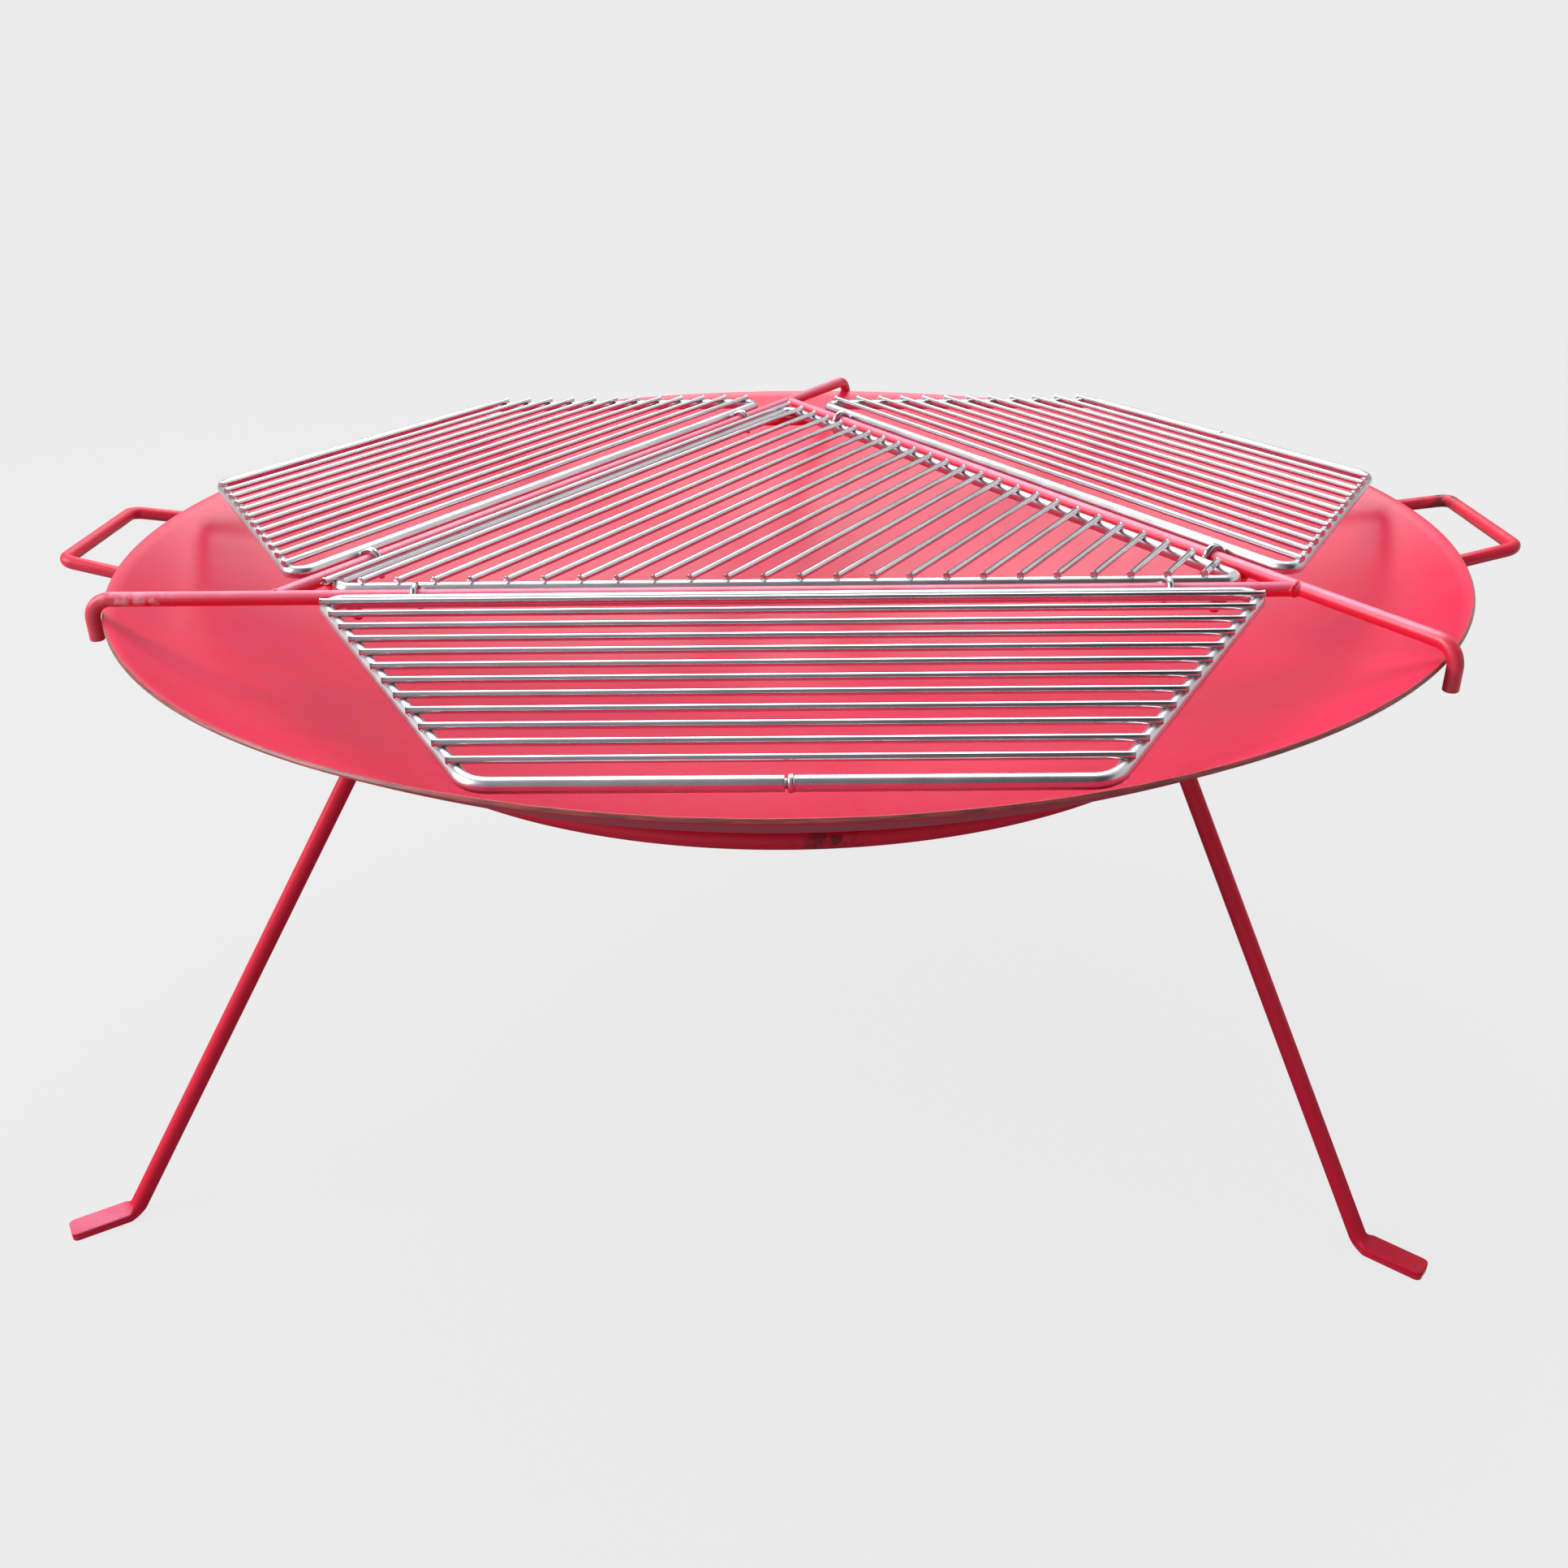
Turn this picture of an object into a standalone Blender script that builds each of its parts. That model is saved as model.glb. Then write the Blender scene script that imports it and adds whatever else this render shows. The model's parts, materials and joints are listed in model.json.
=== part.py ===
"""Dished fire pit on a three-legged stand, with a bar frame, a centre grate and three side grates.

The ground is z 0 and the front is -Y. Every piece hangs from the empty on the dish's own axis.
"""

import math

import bmesh
import bpy
from mathutils import Matrix, Vector

# Dish, pressed from sheet as a shallow cap of a ball
RIM_RADIUS = 0.500
DISH_DEPTH = 0.153
SHEET = 0.003
TURN_STEPS = 60

# Stand: a ring of round bar on three splayed legs with flattened feet
RING_RADIUS = 0.345
RING_HEIGHT = 0.3375
RING_BAR = 0.012
LEG_BAR = 0.012
LEG_SPREAD_LEFT = 0.568
LEG_SPREAD_RIGHT = 0.526
LEG_SPREAD_REAR = 0.547
LEG_BEND = 0.012
FOOT_LENGTH = 0.045
FOOT_WIDTH = 0.018
FOOT_THICKNESS = 0.007
FOOT_CORNER = 0.002
FOOT_END_CHAMFER = 0.003
LEG_ANGLE_LEFT = math.radians(-148.2)
LEG_ANGLE_RIGHT = math.radians(-39.9)
LEG_ANGLE_REAR = math.radians(86)

# Handles, bent from round bar and welded under the rim
HANDLE_BAR = 0.010
HANDLE_REACH = 0.0445
HANDLE_HALF_LENGTH = 0.065
HANDLE_FLARE = 0.18
HANDLE_DROP = 0.005
HANDLE_SLOPE = math.radians(10)
HANDLE_BEND = 0.010
HANDLE_ROOT = 0.026

# Frame of three bars that cross the dish as a pinwheel, each hooked over the rim at one end
ROD_BAR = 0.010
ROD_OFFSET = 0.1975
ROD_RISE = 0.010
ROD_BEND = 0.014
HOOK_DROP = 0.0285
CORNER_BAR = 0.008
CORNER_BAR_INSET = 0.012
CORNER_BAR_OVERHANG = 0.009

# Grates of welded wire
FRAME_WIRE = 0.008
CROSS_WIRE = 0.004
WELD_SINK = 0.0008
FRAME_BEND = 0.013
WIRE_OVERHANG = 0.004
CENTRE_CLEARANCE = 0.0175
CENTRE_PITCH = 0.0214
CENTRE_FIRST_INSET = 0.0005
CENTRE_LAST_INSET = 0.020
SIDE_CORNER_GAP = 0.03208
SIDE_TAPER = 0.142
SIDE_RIM_GAP = 0.021536
SIDE_PITCH = 0.0188
SIDE_FIRST_INSET = 0.014
SIDE_LAST_INSET = 0.0165
SIDE_STANDOFF = 0.0135
SIDE_RISE = 0.003

# Hooks that hang each side grate on its bar
HOOK_WIRE = 0.004
HOOK_INSET = 0.057
HOOK_CLEARANCE = 0.0005
HOOK_TAIL = 0.012
HOOK_LAP = 0.003

# How far the front and right side grates are slid along their bars
FRONT_SLIP = 0.004
RIGHT_SLIP = -0.011

# Gap between pieces that rest on each other, and under the side grates' outer corners
SEAT = 0.0003
REST_GAP = 0.0012

# Sides of the round bars and wires
BAR_SIDES = 12
WIRE_SIDES = 8
BEND_STEPS = 5

# Dish as parts of two balls about one centre
OUTER_BALL = (RIM_RADIUS**2 + DISH_DEPTH**2) / (2 * DISH_DEPTH)
INNER_BALL = OUTER_BALL - SHEET
RIM_ANGLE = math.asin(RIM_RADIUS / OUTER_BALL)
RING_ANGLE = math.asin(RING_RADIUS / (OUTER_BALL + SEAT + RING_BAR / 2))
BALL_CENTRE_HEIGHT = RING_HEIGHT + (OUTER_BALL + SEAT + RING_BAR / 2) * math.cos(RING_ANGLE)
RIM_HEIGHT = BALL_CENTRE_HEIGHT - INNER_BALL * math.cos(RIM_ANGLE)
ROD_HEIGHT = RIM_HEIGHT + ROD_RISE
CORNER_BAR_HEIGHT = ROD_HEIGHT - ROD_BAR / 2 - SEAT - CORNER_BAR / 2
CENTRE_GRATE_HEIGHT = CORNER_BAR_HEIGHT + CORNER_BAR / 2 + SEAT + FRAME_WIRE / 2
CROSS_WIRE_LIFT = (FRAME_WIRE + CROSS_WIRE) / 2 - WELD_SINK

# Centre grate just inside the three bars, with as many wires as fit, and its bars near its corners
CENTRE_INRADIUS = ROD_OFFSET - CENTRE_CLEARANCE
CENTRE_WIRES = 1 + int((3 * CENTRE_INRADIUS - CENTRE_FIRST_INSET - CENTRE_LAST_INSET) / CENTRE_PITCH)
CORNER_BAR_DISTANCE = 2 * CENTRE_INRADIUS - CORNER_BAR_INSET

# Side grates as long as the bars between their crossings, and as deep as the rim leaves room
SIDE_INNER_HALF = math.sqrt(3) * ROD_OFFSET - SIDE_CORNER_GAP
SIDE_OUTER_HALF = SIDE_INNER_HALF - SIDE_TAPER
SIDE_DEPTH = math.sqrt((RIM_RADIUS - SIDE_RIM_GAP)**2 - SIDE_OUTER_HALF**2) - ROD_OFFSET - SIDE_STANDOFF
SIDE_WIRES = 1 + round((SIDE_DEPTH - SIDE_FIRST_INSET - SIDE_LAST_INSET) / SIDE_PITCH)
HOOK_SPACING = 2 * (SIDE_INNER_HALF - HOOK_INSET)

THIRD_TURN = 2 * math.pi / 3


def new_material(name, colour, roughness, metallic):
    material = bpy.data.materials.new(name)
    material.use_nodes = True
    shader = material.node_tree.nodes["Principled BSDF"]
    shader.inputs["Base Color"].default_value = (*colour, 1.0)
    shader.inputs["Roughness"].default_value = roughness
    shader.inputs["Metallic"].default_value = metallic
    return material


def red_paint(name):
    return new_material(name + "_paint", (0.78, 0.03, 0.07), 0.35, 0.0)


def bright_wire(name):
    return new_material(name + "_steel", (0.72, 0.72, 0.74), 0.22, 1.0)


def new_collection(name):
    collection = bpy.data.collections.new(name)
    bpy.context.scene.collection.children.link(collection)
    return collection


def place(obj, collection, parent, location=(0, 0, 0), rotation=(0, 0, 0)):
    collection.objects.link(obj)
    obj.parent = parent
    obj.location = location
    obj.rotation_euler = rotation
    return obj


def new_empty(name, collection, parent=None, location=(0, 0, 0), rotation=(0, 0, 0)):
    return place(bpy.data.objects.new(name, None), collection, parent, location, rotation)


def as_cutter(obj):
    obj.hide_render = True
    obj.display_type = "WIRE"
    return obj


def add_boolean(obj, operation, other):
    modifier = obj.modifiers.new(operation.lower(), "BOOLEAN")
    modifier.operation = operation
    modifier.solver = "EXACT"
    modifier.object = other


def rounded_path(corners, radius, steps=BEND_STEPS, closed=False):
    """The path through the corners, with an arc of this centre-line radius at each real bend."""
    corners = [Vector(corner) for corner in corners]
    path = []
    for index, corner in enumerate(corners):
        back = (corners[index - 1] - corner).normalized()
        ahead = (corners[(index + 1) % len(corners)] - corner).normalized()
        half_angle = back.angle(ahead) / 2
        is_end = not closed and index in (0, len(corners) - 1)
        if is_end or half_angle > math.radians(89):
            path.append(corner)
            continue
        centre = corner + (back + ahead).normalized() * radius / math.sin(half_angle)
        first = corner + back * radius / math.tan(half_angle) - centre
        last = corner + ahead * radius / math.tan(half_angle) - centre
        axis = first.cross(last)
        turn = math.pi - 2 * half_angle
        path += [centre + Matrix.Rotation(turn * step / steps, 3, axis) @ first for step in range(steps + 1)]
    return path


def tube_mesh(name, paths, diameter, sides, closed=False):
    """Round bars or wires along the paths, as one mesh with its end caps welded."""
    curve = bpy.data.curves.new(name, "CURVE")
    curve.dimensions = "3D"
    curve.bevel_depth = diameter / 2
    curve.bevel_resolution = (sides - 4) // 2
    curve.use_fill_caps = True
    for path in paths:
        spline = curve.splines.new("POLY")
        spline.points.add(len(path) - 1)
        spline.use_cyclic_u = closed
        for point, position in zip(spline.points, path):
            point.co = (*position, 1.0)
    carrier = bpy.data.objects.new(name + "_curve", curve)
    bpy.context.scene.collection.objects.link(carrier)
    evaluated = carrier.evaluated_get(bpy.context.evaluated_depsgraph_get())
    mesh = bpy.data.meshes.new_from_object(evaluated)
    bpy.data.objects.remove(carrier)
    edit = bmesh.new()
    edit.from_mesh(mesh)
    bmesh.ops.remove_doubles(edit, verts=edit.verts, dist=1e-6)
    edit.to_mesh(mesh)
    edit.free()
    mesh.name = name
    return mesh


def new_object(name, mesh, material):
    mesh.materials.clear()
    mesh.materials.append(material)
    mesh.shade_smooth()
    mesh.set_sharp_from_angle(angle=math.radians(40))
    return bpy.data.objects.new(name, mesh)


def turned_object(name, profile, material, closed=False):
    """A profile of radius and height turned once round the dish's axis."""
    mesh = bpy.data.meshes.new(name)
    edges = [(i, i + 1) for i in range(len(profile) - 1)]
    if closed:
        edges.append((len(profile) - 1, 0))
    mesh.from_pydata([(radius, 0, height) for radius, height in profile], edges, [])
    mesh.materials.append(material)
    obj = bpy.data.objects.new(name, mesh)
    screw = obj.modifiers.new("turn", "SCREW")
    screw.steps = TURN_STEPS
    screw.render_steps = TURN_STEPS
    screw.use_merge_vertices = True
    screw.merge_threshold = 1e-5
    screw.use_smooth_shade = True
    return obj


def dish_arc(ball_radius):
    """Points of a ball's underside from its lowest point out to the rim, one of them over the ring."""
    inner_steps = 5
    outer_steps = 3
    angles = [RING_ANGLE * step / inner_steps for step in range(inner_steps)]
    angles += [RING_ANGLE + (RIM_ANGLE - RING_ANGLE) * step / outer_steps for step in range(outer_steps + 1)]
    return [
        (ball_radius * math.sin(angle), BALL_CENTRE_HEIGHT - ball_radius * math.cos(angle))
        for angle in angles
    ]


def make_dish(parent):
    profile = dish_arc(INNER_BALL) + dish_arc(OUTER_BALL)[::-1]
    return place(turned_object("fire_bowl", profile, red_paint("fire_bowl")), PIECES, parent)


def dish_cutter(parent):
    """A solid just larger than the dish, whose flats match the dish's, to end the handles on its wall."""
    arc = dish_arc(OUTER_BALL + SEAT)
    profile = [(0, arc[-1][1])] + arc[::-1]
    return place(as_cutter(turned_object("dish_cutter", profile, red_paint("dish_cutter"))), CUTTERS, parent)


def ring_profile(diameter):
    """The ring's round section, with one corner where the dish touches it."""
    sides = 10
    first = math.pi / 2 + RING_ANGLE
    return [
        (
            RING_RADIUS + diameter / 2 * math.cos(first - 2 * math.pi * side / sides),
            RING_HEIGHT + diameter / 2 * math.sin(first - 2 * math.pi * side / sides),
        )
        for side in range(sides)
    ]


def make_ring(parent):
    ring = turned_object("stand_ring", ring_profile(RING_BAR), red_paint("stand_ring"), closed=True)
    return place(ring, PIECES, parent)


def ring_cutter(parent):
    """The ring with its seat gap round it, to cope the legs' upper ends."""
    ring = turned_object(
        "ring_cutter", ring_profile(RING_BAR + 2 * SEAT), red_paint("ring_cutter"), closed=True
    )
    return place(as_cutter(ring), CUTTERS, parent)


def leg_section(flatness, width_cut=0.0):
    """Sixteen points from a round bar, at flatness 0, to a flat bar with rounded edges, at 1."""
    points = []
    for corner in range(4):
        across = (1, -1, -1, 1)[corner]
        along = (1, 1, -1, -1)[corner]
        for step in range(4):
            round_angle = math.radians(90 * corner + 11.25 + 22.5 * step)
            edge_angle = math.radians(90 * corner + 30 * step)
            round_point = Vector((math.cos(round_angle), math.sin(round_angle))) * LEG_BAR / 2
            flat_point = Vector(
                (
                    across * (FOOT_WIDTH / 2 - FOOT_CORNER - width_cut) + FOOT_CORNER * math.cos(edge_angle),
                    along * (FOOT_THICKNESS / 2 - FOOT_CORNER) + FOOT_CORNER * math.sin(edge_angle),
                )
            )
            points.append(round_point.lerp(flat_point, flatness))
    return points


def leg_stations(spread):
    """Centre, direction, flatness and width cut of each section, from the ring down to the foot's end."""
    top = Vector((RING_RADIUS, 0, RING_HEIGHT))
    ankle = Vector((spread, 0, FOOT_THICKNESS / 2))
    toe = ankle + Vector((FOOT_LENGTH, 0, 0))
    path = rounded_path((top, ankle, toe), LEG_BEND, steps=6)
    down = (ankle - top).normalized()
    out = Vector((1, 0, 0))
    bend = path[1:-1]
    stations = [(top, down, 0.0, 0.0)]
    for index, centre in enumerate(bend):
        share = index / (len(bend) - 1)
        stations.append((centre, down.slerp(out, share), share, 0.0))
    stations.append((toe - out * FOOT_END_CHAMFER, out, 1.0, 0.0))
    stations.append((toe, out, 1.0, FOOT_END_CHAMFER))
    return stations


def leg_rings(spread):
    """The corners of the leg's sections, in the plane of one leg that points along +X."""
    rings = []
    for centre, direction, flatness, width_cut in leg_stations(spread):
        upward = Vector((0, 1, 0)).cross(direction) * -1
        rings.append([
            centre + Vector((0, 1, 0)) * across + upward * up
            for across, up in leg_section(flatness, width_cut)
        ])
    return rings


def make_leg(name, parent, spread, turn, cutter):
    edit = bmesh.new()
    rings = [[edit.verts.new(corner) for corner in ring] for ring in leg_rings(spread)]
    for upper, lower in zip(rings, rings[1:]):
        for side in range(len(upper)):
            after = (side + 1) % len(upper)
            edit.faces.new((upper[side], upper[after], lower[after], lower[side]))
    edit.faces.new(rings[0])
    edit.faces.new(rings[-1])
    bmesh.ops.recalc_face_normals(edit, faces=edit.faces)
    mesh = bpy.data.meshes.new(name)
    edit.to_mesh(mesh)
    edit.free()
    leg = place(new_object(name, mesh, red_paint(name)), PIECES, parent, rotation=(0, 0, turn))
    add_boolean(leg, "DIFFERENCE", cutter)
    return leg


def make_handle(name, parent, turn, cutter):
    """A bent loop on +X, turned to its side, whose two roots are coped to the dish's wall."""
    bar_x = RIM_RADIUS + HANDLE_REACH
    bar_z = RIM_HEIGHT - HANDLE_DROP
    root_x = RIM_RADIUS - HANDLE_ROOT
    root_z = bar_z - (bar_x - root_x) * math.tan(HANDLE_SLOPE)
    root_y = HANDLE_HALF_LENGTH + (bar_x - root_x) * HANDLE_FLARE
    corners = (
        (root_x, root_y, root_z),
        (bar_x, HANDLE_HALF_LENGTH, bar_z),
        (bar_x, -HANDLE_HALF_LENGTH, bar_z),
        (root_x, -root_y, root_z),
    )
    mesh = tube_mesh(name, [rounded_path(corners, HANDLE_BEND)], HANDLE_BAR, BAR_SIDES)
    handle = place(new_object(name, mesh, red_paint(name)), PIECES, parent, rotation=(0, 0, turn))
    add_boolean(handle, "DIFFERENCE", cutter)
    return handle


def rod_junction():
    """Where one frame bar's centre line meets the next one's."""
    return Vector((math.sqrt(3) * ROD_OFFSET, -ROD_OFFSET, ROD_HEIGHT))


def rod_cutter(parent):
    """The next bar with its seat gap round it, to cope the end of the front bar."""
    length = 0.08
    mesh = tube_mesh(
        "rod_cutter", [((-length, 0, 0), (length, 0, 0))], ROD_BAR + 2 * SEAT, BAR_SIDES
    )
    cutter = new_object("rod_cutter", mesh, red_paint("rod_cutter"))
    return place(as_cutter(cutter), CUTTERS, parent, rod_junction(), (0, 0, THIRD_TURN))


def make_rod(name, parent):
    """The front bar: up outside the rim, over it, and straight on to the next bar."""
    hook_x = -math.sqrt((RIM_RADIUS + ROD_BAR / 2 + SEAT) ** 2 - ROD_OFFSET**2)
    corners = (
        (hook_x, -ROD_OFFSET, ROD_HEIGHT - HOOK_DROP),
        (hook_x, -ROD_OFFSET, ROD_HEIGHT),
        rod_junction(),
    )
    mesh = tube_mesh(name, [rounded_path(corners, ROD_BEND, steps=6)], ROD_BAR, BAR_SIDES)
    rod = place(new_object(name, mesh, red_paint(name)), PIECES, parent)
    add_boolean(rod, "DIFFERENCE", rod_cutter(parent))
    return rod


def make_corner_bar(name, parent):
    """A short bar under the front left corner of the frame, square to the line from the corner inwards."""
    to_corner = math.radians(-150)
    half_span = (2 * ROD_OFFSET - CORNER_BAR_DISTANCE) * math.tan(math.radians(30))
    half_length = half_span + CORNER_BAR_OVERHANG
    ends = ((0, -half_length, 0), (0, half_length, 0))
    mesh = tube_mesh(name, [ends], CORNER_BAR, BAR_SIDES)
    location = (
        CORNER_BAR_DISTANCE * math.cos(to_corner),
        CORNER_BAR_DISTANCE * math.sin(to_corner),
        CORNER_BAR_HEIGHT,
    )
    return place(new_object(name, mesh, red_paint(name)), PIECES, parent, location, (0, 0, to_corner))


def make_grate(name, parent, frame_path, wire_ends):
    """A closed wire frame with the cross wires welded across its top."""
    frame_mesh = tube_mesh(name, [frame_path], FRAME_WIRE, WIRE_SIDES, closed=True)
    grate = place(new_object(name, frame_mesh, bright_wire(name)), PIECES, parent)
    wire_mesh = tube_mesh(name + "_wires", wire_ends, CROSS_WIRE, WIRE_SIDES)
    wires = new_object(name + "_wires", wire_mesh, bright_wire(name + "_wires"))
    place(as_cutter(wires), CUTTERS, parent)
    add_boolean(grate, "UNION", wires)
    return grate


def stops_between_wires(start, end, insets, depth):
    """Points on a straight frame side half-way between its wires, clear of the bends at its two ends.

    They cut the side's long faces, so that each face meets one wire at most.
    """
    start, end = Vector(start), Vector(end)
    length = (end - start).length
    stops = []
    for before, after in zip(insets, insets[1:]):
        share = (before + after) / 2 / depth
        if 2 * FRAME_BEND < share * length < length - 2 * FRAME_BEND:
            stops.append(start.lerp(end, share))
    return stops


def make_centre_grate(parent):
    """A triangle with its wires parallel to its left side, which lies on the three corner bars."""
    left, right, rear = [
        (2 * CENTRE_INRADIUS * math.cos(angle), 2 * CENTRE_INRADIUS * math.sin(angle), 0)
        for angle in (math.radians(-150), math.radians(-30), math.radians(90))
    ]
    insets = [CENTRE_FIRST_INSET + wire * CENTRE_PITCH for wire in range(CENTRE_WIRES)]
    front_stops = stops_between_wires(left, right, insets, 3 * CENTRE_INRADIUS)
    right_stops = stops_between_wires(rear, right, insets, 3 * CENTRE_INRADIUS)
    corners = [left, *front_stops, right, *right_stops[::-1], rear]
    along = Vector((0.5, math.sqrt(3) / 2, 0))
    across = Vector((math.sqrt(3) / 2, -0.5, 0))
    lift = Vector((0, 0, CROSS_WIRE_LIFT))
    ends = []
    for inset in insets:
        from_middle = inset - CENTRE_INRADIUS
        half_length = (CENTRE_INRADIUS + WIRE_OVERHANG - from_middle / 2) * 2 / math.sqrt(3)
        middle = across * from_middle + lift
        ends.append((middle - along * half_length, middle + along * half_length))
    return make_grate("centre_grate", parent, rounded_path(corners, FRAME_BEND, closed=True), ends)


def side_wire_insets():
    pitch = (SIDE_DEPTH - SIDE_FIRST_INSET - SIDE_LAST_INSET) / (SIDE_WIRES - 1)
    return [SIDE_FIRST_INSET + wire * pitch for wire in range(SIDE_WIRES)]


def side_frame_path():
    """The side grate's frame, seen from its bar's axis: long side near the bar, short side out at -Y."""
    inner_left = (-SIDE_INNER_HALF, -SIDE_STANDOFF, SIDE_RISE)
    inner_right = (SIDE_INNER_HALF, -SIDE_STANDOFF, SIDE_RISE)
    outer_left = (-SIDE_OUTER_HALF, -SIDE_STANDOFF - SIDE_DEPTH, SIDE_RISE)
    outer_right = (SIDE_OUTER_HALF, -SIDE_STANDOFF - SIDE_DEPTH, SIDE_RISE)
    left_stops = stops_between_wires(inner_left, outer_left, side_wire_insets(), SIDE_DEPTH)
    right_stops = stops_between_wires(inner_right, outer_right, side_wire_insets(), SIDE_DEPTH)
    corners = [inner_left, *left_stops, outer_left, outer_right, *right_stops[::-1], inner_right]
    return rounded_path(corners, FRAME_BEND, closed=True)


def side_wire_ends():
    ends = []
    for inset in side_wire_insets():
        taper = (SIDE_INNER_HALF - SIDE_OUTER_HALF) * inset / SIDE_DEPTH
        half_length = SIDE_INNER_HALF - taper + WIRE_OVERHANG
        y = -SIDE_STANDOFF - inset
        z = SIDE_RISE + CROSS_WIRE_LIFT
        ends.append(((-half_length, y, z), (half_length, y, z)))
    return ends


def resting_tilt(slip):
    """The angle at which a side grate, let down round its bar, meets the dish with its outer corners."""
    facet_sag = INNER_BALL * (1 - math.cos((RIM_ANGLE - RING_ANGLE) / 6))
    facet_sag += RIM_RADIUS * (1 - math.cos(math.pi / TURN_STEPS)) * math.sin(RIM_ANGLE)
    limit = INNER_BALL - FRAME_WIRE / 2 - REST_GAP - facet_sag
    bar_axis = Vector((slip, -ROD_OFFSET, ROD_HEIGHT))
    ball_centre = Vector((0, 0, BALL_CENTRE_HEIGHT))
    low, high = 0.0, math.radians(30)
    for _ in range(40):
        tilt = (low + high) / 2
        swing = Matrix.Rotation(tilt, 3, "X")
        reach = max((bar_axis + swing @ point - ball_centre).length for point in side_frame_path())
        if reach < limit:
            low = tilt
        else:
            high = tilt
    return low


def hook_path(side):
    """From the frame wire over the bar and down behind it, concentric with the bar."""
    radius = ROD_BAR / 2 + HOOK_CLEARANCE + HOOK_WIRE / 2
    start_y = -SIDE_STANDOFF - HOOK_LAP
    start_z = SIDE_RISE + FRAME_WIRE / 2 + SEAT + HOOK_WIRE / 2
    leave_y = -SIDE_STANDOFF + HOOK_LAP
    distance = math.hypot(leave_y, start_z)
    tangent = math.atan2(start_z, leave_y) - math.acos(radius / distance)
    steps = 5
    x = side * HOOK_SPACING / 2
    path = [(x, start_y, start_z), (x, leave_y, start_z)]
    for step in range(steps + 1):
        angle = tangent * (1 - step / steps)
        path.append((x, radius * math.cos(angle), radius * math.sin(angle)))
    path.append((x, radius, -HOOK_TAIL))
    return path


def make_side_grate(side_name, parent, turn, slip, tilt):
    """A side grate and its two hooks, carried by an empty on the axis of its bar."""
    axis_place = Matrix.Rotation(turn, 3, "Z") @ Vector((slip, -ROD_OFFSET, ROD_HEIGHT))
    swing = new_empty(side_name + "_grate_swing", PIECES, parent, axis_place, (tilt, 0, turn))
    make_grate(side_name + "_grate", swing, side_frame_path(), side_wire_ends())
    for hand, side in (("left", -1), ("right", 1)):
        name = f"{side_name}_grate_hook_{hand}"
        mesh = tube_mesh(name, [hook_path(side)], HOOK_WIRE, WIRE_SIDES)
        place(new_object(name, mesh, bright_wire(name)), PIECES, swing)


def axis_offset():
    """How far forward of the origin the dish's axis stands, so that the whole object is centred."""
    rear_leg = Matrix.Rotation(LEG_ANGLE_REAR, 3, "Z")
    rear_reach = max((rear_leg @ corner).y for ring in leg_rings(LEG_SPREAD_REAR) for corner in ring)
    return (rear_reach - RIM_RADIUS) / 2


for old in list(bpy.data.objects):
    bpy.data.objects.remove(old)

PIECES = new_collection("fire_pit")
CUTTERS = new_collection("cutters")

axis = new_empty("pit_axis", PIECES, location=(0, -axis_offset(), 0))

make_ring(axis)
leg_cutter = ring_cutter(axis)
make_leg("leg_front_left", axis, LEG_SPREAD_LEFT, LEG_ANGLE_LEFT, leg_cutter)
make_leg("leg_front_right", axis, LEG_SPREAD_RIGHT, LEG_ANGLE_RIGHT, leg_cutter)
make_leg("leg_rear", axis, LEG_SPREAD_REAR, LEG_ANGLE_REAR, leg_cutter)

pan = new_empty("pan", PIECES, axis)
make_dish(pan)
handle_cutter = dish_cutter(pan)
make_handle("handle_right", pan, 0, handle_cutter)
make_handle("handle_left", pan, math.pi, handle_cutter)

SIDES = ("front", "right", "left")
for third, (rod_side, corner_side) in enumerate(zip(SIDES, ("left", "right", "rear"))):
    turned = new_empty(f"frame_third_{rod_side}", PIECES, pan, rotation=(0, 0, third * THIRD_TURN))
    make_rod(f"frame_bar_{rod_side}", turned)
    make_corner_bar(f"corner_bar_{corner_side}", turned)

make_centre_grate(new_empty("centre_grate_seat", PIECES, pan, (0, 0, CENTRE_GRATE_HEIGHT)))
make_side_grate("front", pan, 0, FRONT_SLIP, resting_tilt(FRONT_SLIP))
make_side_grate("right", pan, THIRD_TURN, RIGHT_SLIP, 0.0)
make_side_grate("left", pan, 2 * THIRD_TURN, 0.0, 0.0)
bpy.context.view_layer.update()
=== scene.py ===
"""Looks of a dished fire pit: red stand, dish and bars, and bright wire grates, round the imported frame."""

import json

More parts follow.
